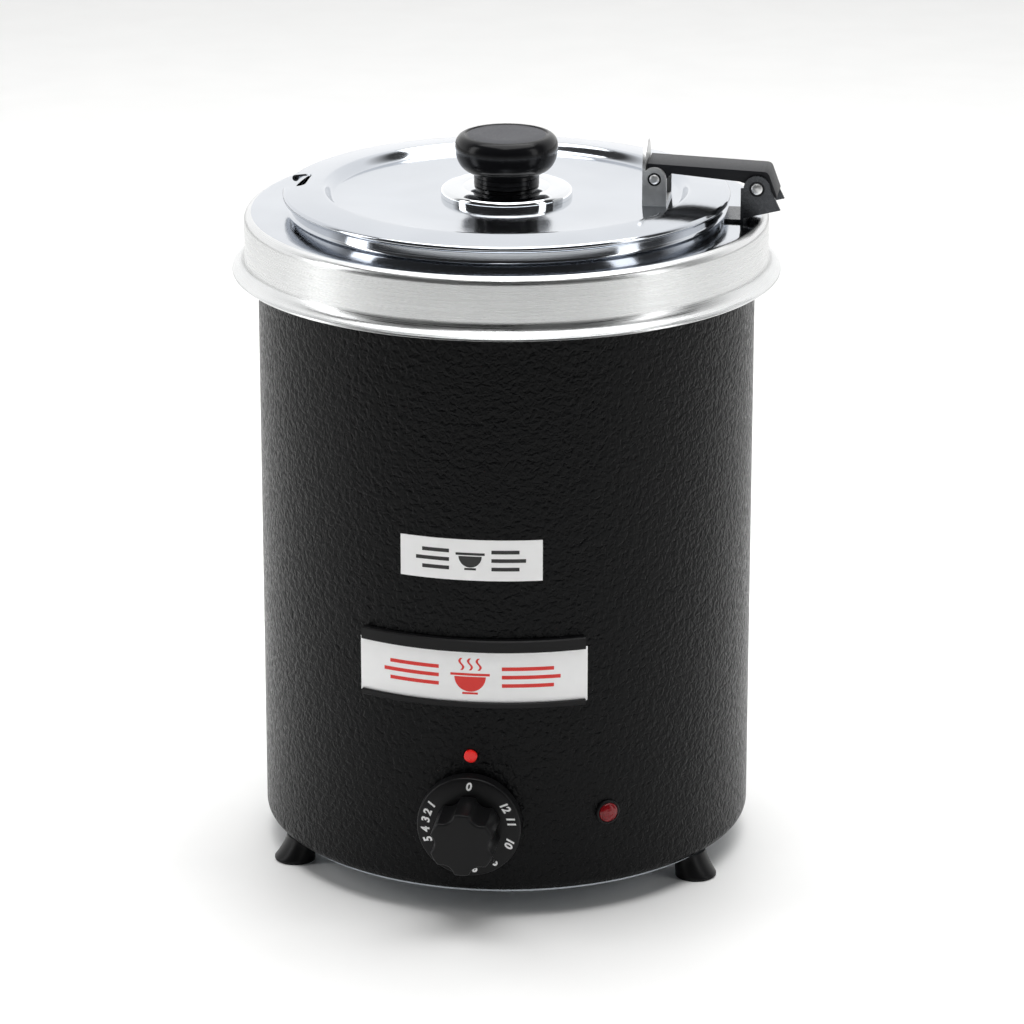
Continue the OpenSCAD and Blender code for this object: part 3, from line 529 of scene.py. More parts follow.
class KETTLE_OT_vessels(PieceOperator, bpy.types.Operator):
    """Insert pot with its beaded rim, and the water well it hangs in"""

    bl_idname = "kettle.vessels"
    bl_label = "Pot and well"

    def execute(self, context):
        sheet = sizes().sheet
        bead, rim_w, water_gap = 3.2 * MM, 13.8 * MM, 6.8 * MM
        upper = high("insert_pot")
        bead_x, rim_z = upper.x - bead, upper.z - 2 * bead + sheet
        wall = bead_x - rim_w
        path = self.cup(low("insert_pot").z + sheet, wall, 14 * MM, rim_z) + [(bead_x - 4 * MM, rim_z)]
        path += arc(bead_x, upper.z - bead, bead - sheet, -90, 150, 14)
        spun("insert_pot_shell", path, -sheet, "drawn_stainless", "insert_pot")

        upper = high("water_well")
        path = self.cup(low("water_well").z + sheet, wall + water_gap, 6 * MM, upper.z)
        path += [(upper.x - sheet, upper.z)] + arc(upper.x - sheet, upper.z - sheet, sheet, 80, -60, 6)
        spun("water_well_shell", path, -sheet, "drawn_stainless", "water_well")
        return {"FINISHED"}

    @staticmethod
    def cup(floor, wall, corner, rim):
        """Inner face of a drawn cup, from the middle of its floor to the bend of its rim."""
        bend = 2 * MM
        path = [(0, floor), (wall - corner, floor)]
        path += arc(wall - corner, floor + corner, corner, -90, 0)[1:] + [(wall, rim - bend)]
        return path + arc(wall + bend, rim - bend, bend, 180, 90, 5)[1:]


class KETTLE_OT_lid_ring(PieceOperator, bpy.types.Operator):
    """Lid ring: flared lip, skirt, rounded shoulder, flat top and collar in one drawn sheet"""

    bl_idname = "kettle.lid_ring"
    bl_label = "Lid ring"

    def execute(self, context):
        sheet = sizes().sheet
        lower, upper = low("lid_ring"), high("lid_ring")
        flare, shoulder, fillet = 6.8 * MM, 4 * MM, 2 * MM
        top_w, collar_h = 22.8 * MM, 6.3 * MM
        skirt = upper.x - flare
        collar, top = skirt - top_w, upper.z - collar_h
        lip_z = lower.z + sheet
        path = [(collar, upper.z), (collar, top + fillet)]
        path += arc(collar + fillet, top + fillet, fillet, 180, 270, 5)[1:]
        path += [(skirt - shoulder - 4 * MM, top), (skirt - shoulder, top)]
        path += arc(skirt - shoulder, top - shoulder, shoulder, 90, 0, 10)[1:] + [(skirt, lip_z + flare)]
        path += arc(skirt + flare, lip_z + flare, flare, 180, 262, 10)[1:]
        ring = spun("lid_ring_shell", path, -sheet, "brushed_stainless", "lid_ring")
        assign(ring, "polished_stainless", lambda centre: centre.z > top - 0.02 * shoulder)
        return {"FINISHED"}


class KETTLE_OT_lid(PieceOperator, bpy.types.Operator):
    """Lid: sunk mirror panel, a border that falls to a rolled rim, and a notch for the ladle"""

    bl_idname = "kettle.lid"
    bl_label = "Lid"

    def execute(self, context):
        sheet = sizes().sheet
        upper = high("lid")
        roll, edge_drop = 1.6 * MM, 1.7 * MM
        roll_x, roll_z = upper.x - roll, upper.z - edge_drop - roll
        crest_x, panel_z = upper.x - 19 * MM, low("lid").z + sheet
        rise_w, steps = 5.5 * MM, 14
        path = [(0, panel_z), (crest_x - rise_w - 30 * MM, panel_z)]
        for i in range(steps + 1):
            t = i / steps
            rise = (1 - cos(pi * t)) / 2
            path.append((crest_x + rise_w * (t - 1), panel_z + (upper.z - panel_z) * rise))
        for i in range(1, steps + 1):
            t = i / steps
            path.append((crest_x + (roll_x - crest_x) * t, upper.z - edge_drop * t ** 1.4))
        path += arc(roll_x, roll_z, roll, 90, -190, 20)[1:]
        lid = turned("lid_shell", sheet_outline(path, -sheet))
        notch_half, notch_depth, corner = 12 * MM, 11 * MM, 4 * MM
        edge = -upper.x + notch_depth
        outline = [(-upper.x - 5 * MM, -notch_half), (edge - corner, -notch_half)]
        outline += arc(edge - corner, -notch_half + corner, corner, -90, 0, 6)[1:]
        outline += arc(edge - corner, notch_half - corner, corner, 0, 90, 6)
        outline += [(-upper.x - 5 * MM, notch_half)]
        trace([(x, y, panel_z - 6 * MM) for x, y in outline], closed=True)
        extrude((0, 0, 20 * MM))
        clean()
        combine(lid, active("notch_cutter"), "DIFFERENCE")
        finish_piece(lid, "polished_stainless", "lid")
        return {"FINISHED"}


class KETTLE_OT_knob(PieceOperator, bpy.types.Operator):
    """Lid knob on its chrome washer"""

    bl_idname = "kettle.knob"
    bl_label = "Knob and washer"

    def execute(self, context):
        base, rim, top = low("knob_washer").z, high("knob_washer").x, high("knob_washer").z
        edge, edge_drop = 2.4 * MM, 0.9 * MM
        path = [(rim, base + 0.05 * MM), (rim, top - edge_drop - edge)]
        path += arc(rim - edge, top - edge_drop - edge, edge, 0, 80, 8)[1:]
        path += near(rim, top, (-6, -0.55), (-10, -0.35), (-10.8, -0.55), (-11.6, -0.2))
        path += [(8 * MM, top - 0.02 * MM)]
        spun("washer_shell", path, sizes().sheet, "chrome_plate", "knob_washer")

        floor, crown, widest = low("lid_knob").z, high("lid_knob").z, high("lid_knob").x
        neck, flat, groove = 15.7 * MM, 20.3 * MM, 0.18 * MM
        outline = [(0, floor)] + near(neck, floor, (-0.4, 0), (0, 0.4))
        for level in (2.2, 4.6):
            z = floor + level * MM
            outline += [(neck, z - groove), (neck - groove, z), (neck, z + groove)]
        outline += near(neck, floor, (-0.3, 6.6))
        belly_z, belly_steps = crown - 6 * MM, 14
        for i in range(1, belly_steps + 1):
            a = radians(90 * i / belly_steps)
            outline.append((neck + (widest - neck) * sin(a) ** 0.85,
                            belly_z - (belly_z - floor - 6.8 * MM) * cos(a)))
        outline += [(widest - (widest - flat) * (1 - cos(radians(a))),
                     belly_z + (crown - belly_z) * sin(radians(a))) for a in range(10, 91, 10)]
        outline += near(flat, crown, (-0.7, -0.5), (-1.4, -0.3)) + near(flat * 0.5, crown, (0, -0.55))
        outline += [(0, crown - 0.6 * MM), (0, floor)]
        knob = turned("lid_knob_body", outline)
        finish_piece(knob, "moulded_phenolic", "lid_knob", smooth=28)
        # The knob's top gets a lighter copy of its black: painted light from above, on a matt face
        assign(knob, "turned_phenolic",
               lambda centre: centre.xy.length < flat - 1.2 * MM and centre.z > crown - 2 * MM)
        return {"FINISHED"}


class KETTLE_OT_brackets(PieceOperator, bpy.types.Operator):
    """Lid bracket and ring bracket, each folded from one strip, with bored ears"""

    bl_idname = "kettle.brackets"
    bl_label = "Brackets"

    strip = 1.5 * MM

    def execute(self, context):
        out = high("lid_bracket").y
        pin, head, base = middle("lid_pin"), 5.8 * MM, low("lid_bracket").z
        left, right = pin.x - head, pin.x + head
        web = [(-out, base), (out, base)] + arc(0, high("lid_bracket").z - out, out, 0, 180, 24)
        self.fold("lid_bracket", "pressed_stainless", pin, head, 3.25 * MM,
                  [(left, base), (right, base)], web, (left, right))

        pin, head, base = middle("ring_pin"), 6.4 * MM, low("ring_bracket").z
        left = pin.x - 7.7 * MM
        feet = near(left, pin.z, (0, -15), (2.3, -14.2)) + [(high("ring_bracket").x, pin.z - 10 * MM)]
        web = [(-out, base), (out, base), (out, pin.z - head), (-out, pin.z - head)]
        # The ring bracket's dark grey base is a painted reflection of the dark surroundings
        self.fold("ring_bracket", "smoked_strip", pin, head, 3.75 * MM, feet, web,
                  (low("ring_bracket").x, left + self.strip))
        return {"FINISHED"}

    def fold(self, node, finish_name, pin, head, bore, feet, web, foot):
        """Two ears with given feet, a web of (y, z) points across their backs and a foot between two x."""
        t, out = self.strip, high("lid_bracket").y
        left, base = feet[0][0], low(node).z
        ear = feet + [(pin.x + head, pin.z)] + arc(pin.x, pin.z, head, 0, 180, 20) + [(left, pin.z)]
        ear = [p for i, p in enumerate(ear) if i == 0 or math.dist(p, ear[i - 1]) > 1e-7]
        bracket = plate(node + "_strip", ear, t, out - t / 2)
        combine(bracket, plate("far_ear", ear, t, t / 2 - out), "UNION")
        trace([(left, y, z) for y, z in web], closed=True)
        extrude((t, 0, 0))
        clean()
        combine(bracket, active("web"), "UNION")
        x1, x2 = foot
        combine(bracket, plate("foot", [(x1, base), (x2, base), (x2, base + t), (x1, base + t)], 2 * out), "UNION")
        combine(bracket, rod("bore", bore, 2 * out, pin.x, pin.z), "DIFFERENCE")
        finish_piece(rounded(bracket, 0.3 * MM), finish_name, node)


class KETTLE_OT_hinge_arm(PieceOperator, bpy.types.Operator):
    """Hinge arm, a moulded channel with a boss at each pin, and the two pins"""

    bl_idname = "kettle.hinge_arm"
    bl_label = "Hinge arm and pins"

    def execute(self, context):
        start, end = low("hinge_arm").x, high("hinge_arm").x
        lid_pin, ring_pin = middle("lid_pin"), middle("ring_pin")
        half, wall, bend, side = 10.5 * MM, 2.4 * MM, 3 * MM, 4.6 * MM
        start_z, end_z = lid_pin.z + 7.4 * MM, ring_pin.z + 8.2 * MM
        roof_x, toe_z, floor_z = ring_pin.x + 5 * MM, ring_pin.z - 4 * MM, ring_pin.z - 20 * MM
        slope = math.atan2(end - roof_x, end_z - toe_z)
        bend_x = roof_x - bend * math.tan(pi / 4 - slope / 2)
        outline = [(start, lid_pin.z), (start, start_z - 0.01 * MM), (bend_x, end_z)]
        outline += arc(bend_x, end_z - bend, bend, 90, math.degrees(slope), 8)[1:]
        outline += [(end, toe_z)] + near(ring_pin.x, ring_pin.z, (2, -5.6))
        outline += arc(ring_pin.x, ring_pin.z, 6 * MM, -80, -200, 10)[1:]
        outline += [(ring_pin.x - 8.5 * MM, end_z - side - 0.6 * MM), (lid_pin.x + 8 * MM, start_z - side)]
        outline += arc(lid_pin.x, lid_pin.z, 5.4 * MM, 10, -140, 12)[1:]
        arm = plate("hinge_arm_body", outline, 2 * half)
        hollow = [(start + wall, floor_z), (start + wall, start_z - wall), (roof_x - wall, end_z - wall),
                  (roof_x - wall + (end_z - wall - floor_z) * math.tan(slope), floor_z)]
        combine(arm, plate("hollow", hollow, 2 * (half - wall)), "DIFFERENCE")
        rounded(arm, sizes().edge_round)
        reach = high("lid_bracket").y - 0.1 * MM
        for pin, radius in ((lid_pin, 3.2 * MM), (ring_pin, 3.7 * MM)):
            combine(arm, rod("boss", radius, reach, pin.x, pin.z), "UNION")
        finish_piece(arm, "moulded_arm_nylon", "hinge_arm")

        for node, radius in (("lid_pin", 2.3 * MM), ("ring_pin", 2.65 * MM)):
            pin, tip = middle(node), high(node).y
            dome = 0.7 * MM
            profile = [(0, -tip), (radius * 0.45, -tip + dome * 0.12), (radius * 0.8, -tip + dome * 0.45)]
            profile += [(radius, -tip + dome)]
            profile += [(r, -z) for r, z in profile[::-1]] + [profile[0]]
            rivet = turned(node + "_rivet", profile, 48)
            placed(rivet, (pin.x, 0, pin.z), (pi / 2, 0, 0))
            finish_piece(rivet, "pressed_stainless", node)
        return {"FINISHED"}


class KETTLE_OT_dial(PieceOperator, bpy.types.Operator):
    """Control dial: a skirted disc with a six-lobed grip, and its painted numbers"""

    bl_idname = "kettle.dial"
    bl_label = "Control dial"

    def execute(self, context):
        lower, upper = low("control_dial"), high("control_dial")
        radius, axis_z = upper.x, (lower.z + upper.z) / 2
        thick = 7 * MM
        grip = -lower.y + upper.y - thick
        rim = near(radius, 0, (-2.5, 0), (0, 0)) + near(radius, thick, (0, -1.6))
        rim += arc(radius - 1.4 * MM, thick - 1.6 * MM, 1.4 * MM, 0, 90, 6)[1:] + near(radius, thick, (-1.8, 0))
        rim += near(0, thick, (0, 0), (0, -2.5)) + near(radius, thick, (-2.5, -2.5)) + rim[:1]
        dial = turned("control_dial_knob", rim)

        half_lobe, grip_r = pi / 6, 15.8 * MM
        scallop_r, scallop_at = 6 * MM, grip_r + 3.4 * MM
        points = 144
        outline = []
        for i in range(points):
            a = 2 * pi * i / points
            off = (a + half_lobe) % (2 * half_lobe) - half_lobe
            beside = scallop_at * sin(off)
            reach = grip_r
            if abs(beside) < scallop_r:
                reach = min(grip_r, scallop_at * cos(off) - math.sqrt(scallop_r ** 2 - beside ** 2))
            turn = a + half_lobe + pi / 2
            outline.append((reach * cos(turn), reach * sin(turn), thick - 0.5 * MM))
        trace(outline, closed=True)
        extrude((0, 0, 0.7 * grip + 0.5 * MM))
        bpy.ops.transform.resize(value=(0.985, 0.985, 1))
        extrude((0, 0, 0.3 * grip))
        bpy.ops.transform.resize(value=(0.99, 0.99, 1))
        clean()
        handle = rounded(active("grip"), 1.1 * MM, 4, 50)
        combine(dial, handle, "UNION")
        placed(dial, (0, upper.y, axis_z), (pi / 2, 0, 0))
        finish_piece(dial, "moulded_nylon", "control_dial", smooth=32)

        numbers = []
        face_y, at = upper.y - thick, 20.6 * MM
        angles = (0, 59, 71, 82, 96, 110, 135, 162, 189, 217, 251, 282, 303)
        for value, degrees in enumerate(angles):
            a = radians(degrees)
            deselect()
            bpy.ops.object.text_add()
            text = bpy.context.object.data
            text.body = str(value)
            text.size = sizes().number_height * 1.35
            text.align_x = text.align_y = "CENTER"
            text.extrude, text.offset = 0.05 * MM, 0.2 * MM
            text.shear, text.space_character = 0.16, 0.95
            bpy.ops.object.convert(target="MESH")
            numbers.append(placed(bpy.context.object, (-at * sin(a), face_y, axis_z + at * cos(a)),
                                  (pi / 2, -a, 0)))
        finish_piece(joined(numbers, "dial_numbers"), "number_paint", "control_dial", replaces=False)
        return {"FINISHED"}


def on_wall(obj, degrees, radius, z):
    """Puts a piece made about +Z on the housing's wall, facing outwards at an angle round from the dial."""
    turn = Matrix.Rotation(radians(degrees), 4, "Z")
    spot = turn @ Vector((0, -radius, 0)) + UP * z
    return placed(obj, spot, (pi / 2, 0, radians(degrees)))


class KETTLE_OT_lamps(PieceOperator, bpy.types.Operator):
    """Pilot lamp in its bezel, and the red indicator over the dial"""

    bl_idname = "kettle.lamps"
    bl_label = "Pilot lamp and indicator"

    def execute(self, context):
        wall = high("outer_housing").x
        place = middle("lamp_bezel")
        degrees = math.degrees(math.atan2(place.x, -place.y))
        height = 1.4 * MM
        profile = near(0, 0, (4.75, 0), (6, 0), (6, 0.6)) + arc(5.3 * MM, 0.7 * MM, 0.7 * MM, 0, 90, 5)
        profile += near(0, height, (5.1, 0), (4.75, -0.4))
        bezel = turned("lamp_bezel_ring", profile + profile[:1], 64)
        on_wall(bezel, degrees, wall + 0.2 * MM, place.z)
        finish_piece(bezel, "moulded_nylon", "lamp_bezel")

        lens_r, dome, stem = 4.7 * MM, 1.6 * MM, 24 * MM
        profile = [(0, -stem), (lens_r, -stem), (lens_r, height)]
        for i in range(1, 9):
            a = radians(90 * i / 8)
            profile.append((lens_r * cos(a), height + dome * sin(a)))
            if i in (3, 6):
                profile += near(*profile[-1], (-0.15, -0.12))
        profile[-1] = (0, height + dome)
        lens = turned("lamp_lens_dome", profile + profile[:1], 64)
        on_wall(lens, degrees, wall, place.z)
        finish_piece(lens, "lamp_polycarbonate", "lamp_lens")

        radius = high("indicator").x
        profile = near(0, 0, (0, -4), (2, -4), (2, 0.1)) + near(radius, 0, (0, 0.1))
        profile += arc(radius - 0.5 * MM, 0.8 * MM, 0.5 * MM, 0, 80, 5)
        profile += near(radius * 0.4, 0, (0, 1.38)) + near(0, 0, (0, 1.42))
        button = turned("indicator_button", profile + profile[:1], 64)
        on_wall(button, 0, wall, middle("indicator").z)
        finish_piece(button, "red_acetal", "indicator")
        return {"FINISHED"}


def wall_piece(name, node, profile):
    """Turned piece on the front wall, as wide as its node; a spin runs clockwise seen from above."""
    half = math.degrees(math.asin(min(1, high(node).x / -low(node).y)))
    return turned(name, profile + profile[:1], max(12, round(half)), degrees=2 * half, start=-90 + half)


class KETTLE_OT_labels(PieceOperator, bpy.types.Operator):
    """Label holder with its card, and the name plate, both with a plain printed bowl and bars"""

    bl_idname = "kettle.labels"
    bl_label = "Labels"

    def execute(self, context):
        wall = high("outer_housing").x
        lower, upper = low("label_holder").z, high("label_holder").z
        seat, lip, front = wall + 0.9 * MM, wall + 1.9 * MM, wall + 3.1 * MM
        shelf, ledge, pocket = lower + 3 * MM, upper - 6 * MM, 1.2 * MM
        profile = [(wall, lower)] + near(front, lower, (-0.5, 0), (0, 0.5))
        profile += near(front, shelf, (0, -0.4), (-0.4, 0))
        profile += [(lip, shelf), (lip, shelf - pocket), (seat, shelf - pocket)]
        profile += [(seat, ledge + pocket), (lip, ledge + pocket), (lip, ledge)]
        profile += near(front, ledge, (-0.4, 0), (0, 0.4)) + near(front, upper, (0, -0.6), (-0.6, 0))
        holder = wall_piece("label_holder_rails", "label_holder", profile + [(wall, upper)])
        finish_piece(holder, "moulded_nylon", "label_holder")
        self.card("label_card", wall + 1.2 * MM, 0.5 * MM, "red_ink", 7.5 * MM, 15 * MM, 42 * MM, steam=True)
        self.card("name_plate", wall, 0.4 * MM, "black_ink", 5.5 * MM, 10 * MM, 26 * MM, steam=False)
        return {"FINISHED"}

    def card(self, node, back, thick, ink, bowl_r, bar_start, bar_end, steam):
        """White sheet round the wall, with a bowl between bars printed on it."""
        lower, upper = low(node).z, high(node).z
        front = back + thick
        sheet = wall_piece(node + "_sheet", node, [(back, lower), (front, lower), (front, upper), (back, upper)])
        finish_piece(sheet, "white_card", node)
        middle_z = (lower + upper) / 2
        self.press(self.bowl(bowl_r, middle_z, steam), node + "_print", sheet, ink, node)
        self.press(self.bars(bar_start, bar_end, middle_z), node + "_bars", sheet, ink, node)

    def flat(self, outline):
        """Flat shape in front of the wall, divided finely enough to follow it."""
        y = -high("outer_housing").x - 8 * MM
        trace([(x, y, z) for x, z in outline], closed=True)
        bpy.ops.mesh.quads_convert_to_tris()
        bpy.ops.mesh.subdivide(number_cuts=3)
        return active("shape")

    def strip(self, x1, x2, z1, z2):
        """Level bar, divided along its length."""
        steps = max(2, round((x2 - x1) / (2 * MM)))
        parts = []
        for i in range(steps):
            a, b = x1 + (x2 - x1) * i / steps, x1 + (x2 - x1) * (i + 1) / steps
            parts.append(self.flat([(a, z1), (b, z1), (b, z2), (a, z2)]))
        return joined(parts, "strip")

    def press(self, shapes, name, target, ink, node):
        """Lays the shapes on a curved sheet as a thin layer of ink."""
        layer = joined(shapes, name)
        edit()
        clean()
        active(name)
        apply_modifier(layer, "SHRINKWRAP", target=target, wrap_method="PROJECT", use_project_y=True,
                       use_positive_direction=True, use_negative_direction=False, offset=0.03 * MM)
        apply_modifier(layer, "SOLIDIFY", thickness=0.05 * MM, offset=0)
        finish_piece(layer, ink, node, replaces=False)

    def bowl(self, radius, middle_z, steam):
        rim_z = middle_z + (0 if steam else radius * 0.35)
        foot_z = rim_z - radius
        shapes = [self.flat(arc(0, rim_z, radius, 180, 360, 24))]
        shapes.append(self.strip(-radius * 1.25, radius * 1.25, rim_z + 0.5 * MM, rim_z + 1.7 * MM))
        shapes.append(self.strip(-radius * 0.5, radius * 0.5, foot_z - 1.3 * MM, foot_z - 0.3 * MM))
        if steam:
            for offset in (-0.55, 0, 0.55):
                spine = [(offset * radius + 0.9 * MM * sin(2 * pi * i / 12),
                          rim_z + 3.2 * MM + i / 12 * 6 * MM) for i in range(13)]
                shapes.append(self.flat([(x + 0.55 * MM, z) for x, z in spine]
                                        + [(x - 0.55 * MM, z) for x, z in spine[::-1]]))
        return shapes

    def bars(self, start, end, middle_z):
        spacing, half, taper = 4.2 * MM, 0.9 * MM, 3 * MM
        shapes = []
        for side in (-1, 1):
            for level in (-1, 0, 1):
                z = middle_z + level * spacing
                x1, x2 = sorted((side * start, side * (end - abs(level) * taper)))
                shapes.append(self.strip(x1, x2, z - half, z + half))
        return shapes


class KETTLE_OT_feet(PieceOperator, bpy.types.Operator):
    """Three moulded feet, each sweeping out to a rounded toe"""

    bl_idname = "kettle.feet"
    bl_label = "Feet"

    def execute(self, context):
        height = high("foot_rear").z
        radius, rows = 10 * MM, 14
        toe, slope_in, hollow = 1.6 * MM, 7 * MM, 0.9 * MM
        ring = high("outer_housing").x + 4 * MM - radius
        for node in ("foot_left", "foot_right", "foot_rear"):
            place = middle(node)
            degrees = math.degrees(math.atan2(place.x, -place.y))
            deselect()
            bpy.ops.mesh.primitive_circle_add(vertices=64, radius=radius, fill_type="NGON", location=(0, -ring, 0))
            edit()
            select_mesh()
            pivot = (0, -ring + radius, 0)
            bpy.ops.transform.resize(value=(0.96, 0.96, 1), center_override=pivot)
            level, width, reach = 0.0, 0.96, 0.96
            for i in range(rows + 1):
                t = max(0.0, (i - 1) / (rows - 1))
                rise = (toe * (0.4 if i == 0 else 1) + (height - toe) * t) - level
                inwards = slope_in * t + 4 * hollow * t * (1 - t)
                new_width, new_reach = 1 - 0.05 * t, 1 - inwards / (2 * radius)
                extrude((0, 0, rise))
                bpy.ops.transform.resize(value=(new_width / width, new_reach / reach, 1), center_override=pivot)
                level, width, reach = level + rise, new_width, new_reach
            clean()
            foot = active(node + "_moulding")
            self.rib(foot, ring)
            placed(foot, (0, 0, 0), (0, 0, radians(degrees)))
            finish_piece(foot, "moulded_nylon", node, smooth=50)
        return {"FINISHED"}

    @staticmethod
    def rib(foot, ring):
        """Presses shallow grooves down the foot's outer face."""
        bpy.context.view_layer.objects.active = foot
        edit()
        mesh = bmesh.from_edit_mesh(foot.data)
        bpy.ops.mesh.select_all(action="DESELECT")
        for vertex in mesh.verts:
            bearing = math.degrees(math.atan2(vertex.co.x, -(vertex.co.y + ring)))
            if abs(bearing) < 60 and round(bearing / 5.6) % 4 == 2 and vertex.co.z > 2 * MM:
                vertex.select_set(True)
        mesh.select_flush_mode()
        bmesh.update_edit_mesh(foot.data)
        bpy.ops.transform.translate(value=(0, 0.35 * MM, 0))
        bpy.ops.object.mode_set(mode="OBJECT")


class KETTLE_OT_gland(PieceOperator, bpy.types.Operator):
    """Cord gland at the back: hexagon body with a thread, and its dome nut"""

    bl_idname = "kettle.gland"
    bl_label = "Cord gland"

    def execute(self, context):
        body_low, body_high = low("gland_body"), high("gland_body")
        axis_z = (body_low.z + body_high.z) / 2
        wall = high("outer_housing").x + 0.6 * MM
        bore, corner_r = 4.2 * MM, 24 * MM / math.sqrt(3)
        inside, tip = wall - body_low.y, body_high.y - wall
        thread, depth, pitch = 9.4 * MM, 0.6 * MM, 1.5 * MM
        z = 6 * MM
        profile = [(bore, -inside), (10 * MM, -inside)] + near(0, 0, (10, 0.2), (9.4, 0.3), (9.4, 6))
        while z + pitch < tip:
            profile += [(thread - depth, z + 0.4 * MM), (thread, z + 1.0 * MM), (thread, z + 1.2 * MM)]
            z += pitch
        profile += [(thread - depth, tip), (bore, tip)]
        core = turned("gland_body_moulding", profile + profile[:1], 72)
        self.seat(core, corner_r, 6 * MM, bore, wall, axis_z, "gland_body")

        start, end = low("gland_dome_nut").y, high("gland_dome_nut").y
        span = end - start
        profile = near(0, 0, (9.45, 0), (11.6, 0), (11.6, 10), (11.4, 10.6), (10.4, 12.4))
        profile += near(0, span, (8.6, -1), (7.6, -0.2), (6.6, 0)) + near(bore, span, (0.4, 0), (0, -0.4))
        profile += near(bore, 0, (0, 9.2)) + near(0, 0, (9.45, 9.0), (9.45, 0))
        nut = turned("gland_dome_nut_moulding", profile, 72)
        self.seat(nut, corner_r, 9.5 * MM, 9.46 * MM, start, axis_z, "gland_dome_nut")
        return {"FINISHED"}

    def seat(self, obj, corner_r, hexagon_h, bore, y, z, node):
        """Joins a hexagon to a turned piece and puts it in the rear wall."""
        combine(obj, self.hexagon(corner_r, hexagon_h, bore), "UNION")
        placed(obj, (0, y, z), (-pi / 2, 0, 0))
        finish_piece(obj, "moulded_nylon", node)

    @staticmethod
    def hexagon(radius, height, bore):
        """Hexagon nut blank with turned-off corners and a bore."""
        deselect()
        bpy.ops.mesh.primitive_cylinder_add(vertices=6, radius=radius, depth=height, location=(0, 0, height / 2))
        blank = settled(active("hexagon"))
        cut = 0.8 * MM
        inner = radius - 3 * cut
        cone = [(0, -cut), (inner, -cut), (radius, cut), (radius, height - cut), (inner, height + cut)]
        cone += [(0, height + cut), (0, -cut)]
        combine(blank, turned("cone", cone, 72), "INTERSECT")
        hole = [(0, -cut), (bore, -cut), (bore, height + cut), (0, height + cut), (0, -cut)]
        return combine(blank, turned("hole", hole, 72), "DIFFERENCE")


class KETTLE_OT_inner_finishes(PieceOperator, bpy.types.Operator):
    """Finishes of the pieces inside and underneath, which keep their frame's shape"""

    bl_idname = "kettle.inner_finishes"
    bl_label = "Inner finishes"

    def execute(self, context):
        finishes = {
            "zinc_plated_steel": "base_plate base_screws foot_screws element_clamp clamp_studs clamp_nuts "
                                 "thermostat_bracket thermostat_screws thermostat_shaft bulb_clip lamp_clip knob_screw",
            "mica_foil": "heating_element",
            "pale_nylon": "thermostat_body terminal_block",
            "drawn_copper": "thermostat_bulb capillary",
            "moulded_nylon": "gland_lock_nut",
            "silicone_insulation": "wiring",
        }
        for finish_name, nodes in finishes.items():
            for node in nodes.split():
                mesh = frame["nodes"][node].data
                mesh.materials.clear()
                mesh.materials.append(finish(finish_name))
        return {"FINISHED"}


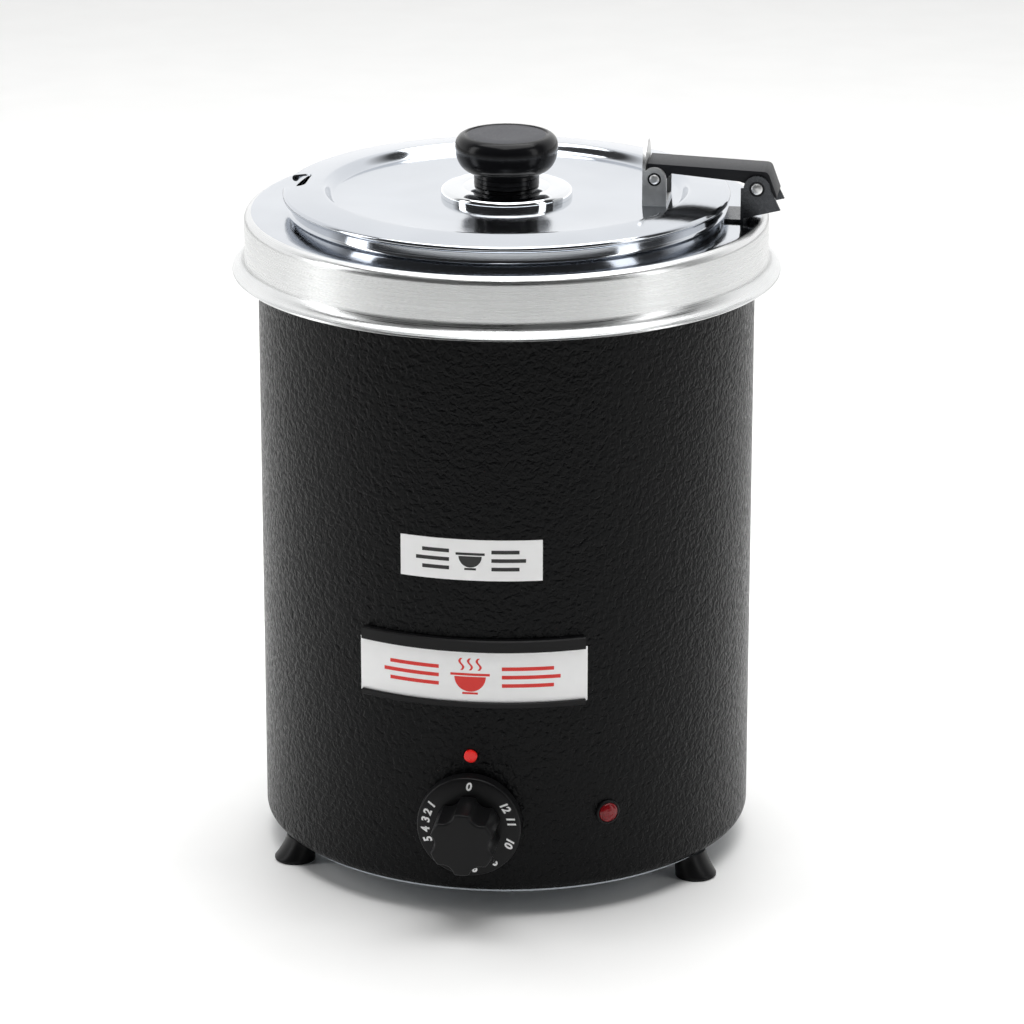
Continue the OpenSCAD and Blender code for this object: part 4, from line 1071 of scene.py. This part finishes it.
class KETTLE_OT_stage(PieceOperator, bpy.types.Operator):
    """Pale floor, soft studio light and the camera"""

    bl_idname = "kettle.stage"
    bl_label = "Stage"

    def execute(self, context):
        scene = context.scene
        deselect()
        bpy.ops.mesh.primitive_plane_add(size=14, location=(0, 0, 0))
        floor = active("floor")
        floor.data.materials.append(finish("pale_floor"))

        elevation, distance = radians(18.54), 2.269
        across, over_floor = 2.6 * MM, low("outer_housing").z + 151.8 * MM
        right = Vector((cos(VIEW_AZIMUTH), sin(VIEW_AZIMUTH), 0))
        level = Vector((sin(VIEW_AZIMUTH), -cos(VIEW_AZIMUTH), 0))
        back = level * cos(elevation) + UP * sin(elevation)
        bpy.ops.object.camera_add(location=right * across + UP * over_floor + back * distance)
        camera = bpy.context.object
        camera.rotation_euler = (-back).to_track_quat("-Z", "Y").to_euler()
        camera.data.lens = 162.1
        camera.data.sensor_width = 36
        scene.camera = camera

        self.light("left_softbox", (-1.9, -0.5, 0.9), (0.5, 1.6), 10)
        self.light("right_softbox", (2.0, -0.6, 0.9), (0.5, 1.6), 7)
        self.light("top_softbox", (0.1, 0.1, 2.2), (2.2, 2.2), 62)
        self.sky(scene)
        return {"FINISHED"}

    @staticmethod
    def light(name, location, size, power):
        """Rectangular softbox turned towards the kettle's middle."""
        deselect()
        bpy.ops.object.light_add(type="AREA", location=location)
        lamp = bpy.context.object
        lamp.name = name
        lamp.data.shape = "RECTANGLE"
        lamp.data.size, lamp.data.size_y = size
        lamp.data.energy = power
        aim = Vector((0, 0, 0.17)) - Vector(location)
        lamp.rotation_euler = aim.to_track_quat("-Z", "Y").to_euler()

    @staticmethod
    def sky(scene):
        """White surroundings, with the darker room that lies behind the viewer."""
        scene.world = bpy.data.worlds.new("studio")
        scene.world.use_nodes = True
        tree = scene.world.node_tree
        tree.nodes.clear()
        place = add(tree, "TexCoord").outputs["Generated"]
        room = Vector((sin(VIEW_AZIMUTH), -cos(VIEW_AZIMUTH), 0.30)).normalized()
        towards = add(tree, "VectorMath", {0: place, 1: room}, operation="DOT_PRODUCT")
        facing = add(tree, "MapRange", {"Value": towards, "From Min": -1.0})
        shade = add(tree, "ValToRGB", {"Fac": facing})
        stops = shade.color_ramp.elements
        stops.remove(stops[-1])
        for i, (position, grey) in enumerate(((0.0, 1.0), (0.38, 0.95), (0.53, 0.05), (1.0, 0.02))):
            stop = stops[0] if i == 0 else stops.new(position)
            stop.color = (grey, grey, grey, 1)
        background = add(tree, "Background", {"Color": shade, "Strength": 1.25})
        add(tree, "OutputWorld", {"Surface": background})
        scene.view_settings.view_transform = "Standard"


# The operators, in the order in which they are written above and run
PIECES = tuple(PieceOperator.__subclasses__())


class KETTLE_PT_panel(bpy.types.Panel):
    """Sizes, colours and pieces of the soup kettle"""

    bl_idname = "KETTLE_PT_panel"
    bl_label = "Soup Kettle"
    bl_space_type = "VIEW_3D"
    bl_region_type = "UI"
    bl_category = "Kettle"

    def draw(self, context):
        layout = self.layout
        for group in (context.scene.kettle_sizes, context.scene.kettle_colours):
            box = layout.box()
            for name in group.__annotations__:
                box.prop(group, name)
        for piece in PIECES:
            layout.operator(piece.bl_idname)


CLASSES = (KettleSizes, KettleColours) + PIECES + (KETTLE_PT_panel,)


def register():
    for cls in CLASSES:
        bpy.utils.register_class(cls)
    bpy.types.Scene.kettle_sizes = bpy.props.PointerProperty(type=KettleSizes)
    bpy.types.Scene.kettle_colours = bpy.props.PointerProperty(type=KettleColours)


def unregister():
    del bpy.types.Scene.kettle_colours
    del bpy.types.Scene.kettle_sizes
    for cls in reversed(CLASSES):
        bpy.utils.unregister_class(cls)


def main():
    register()
    for piece in PIECES:
        group, name = piece.bl_idname.split(".")
        getattr(getattr(bpy.ops, group), name)()


if __name__ == "__main__":
    main()
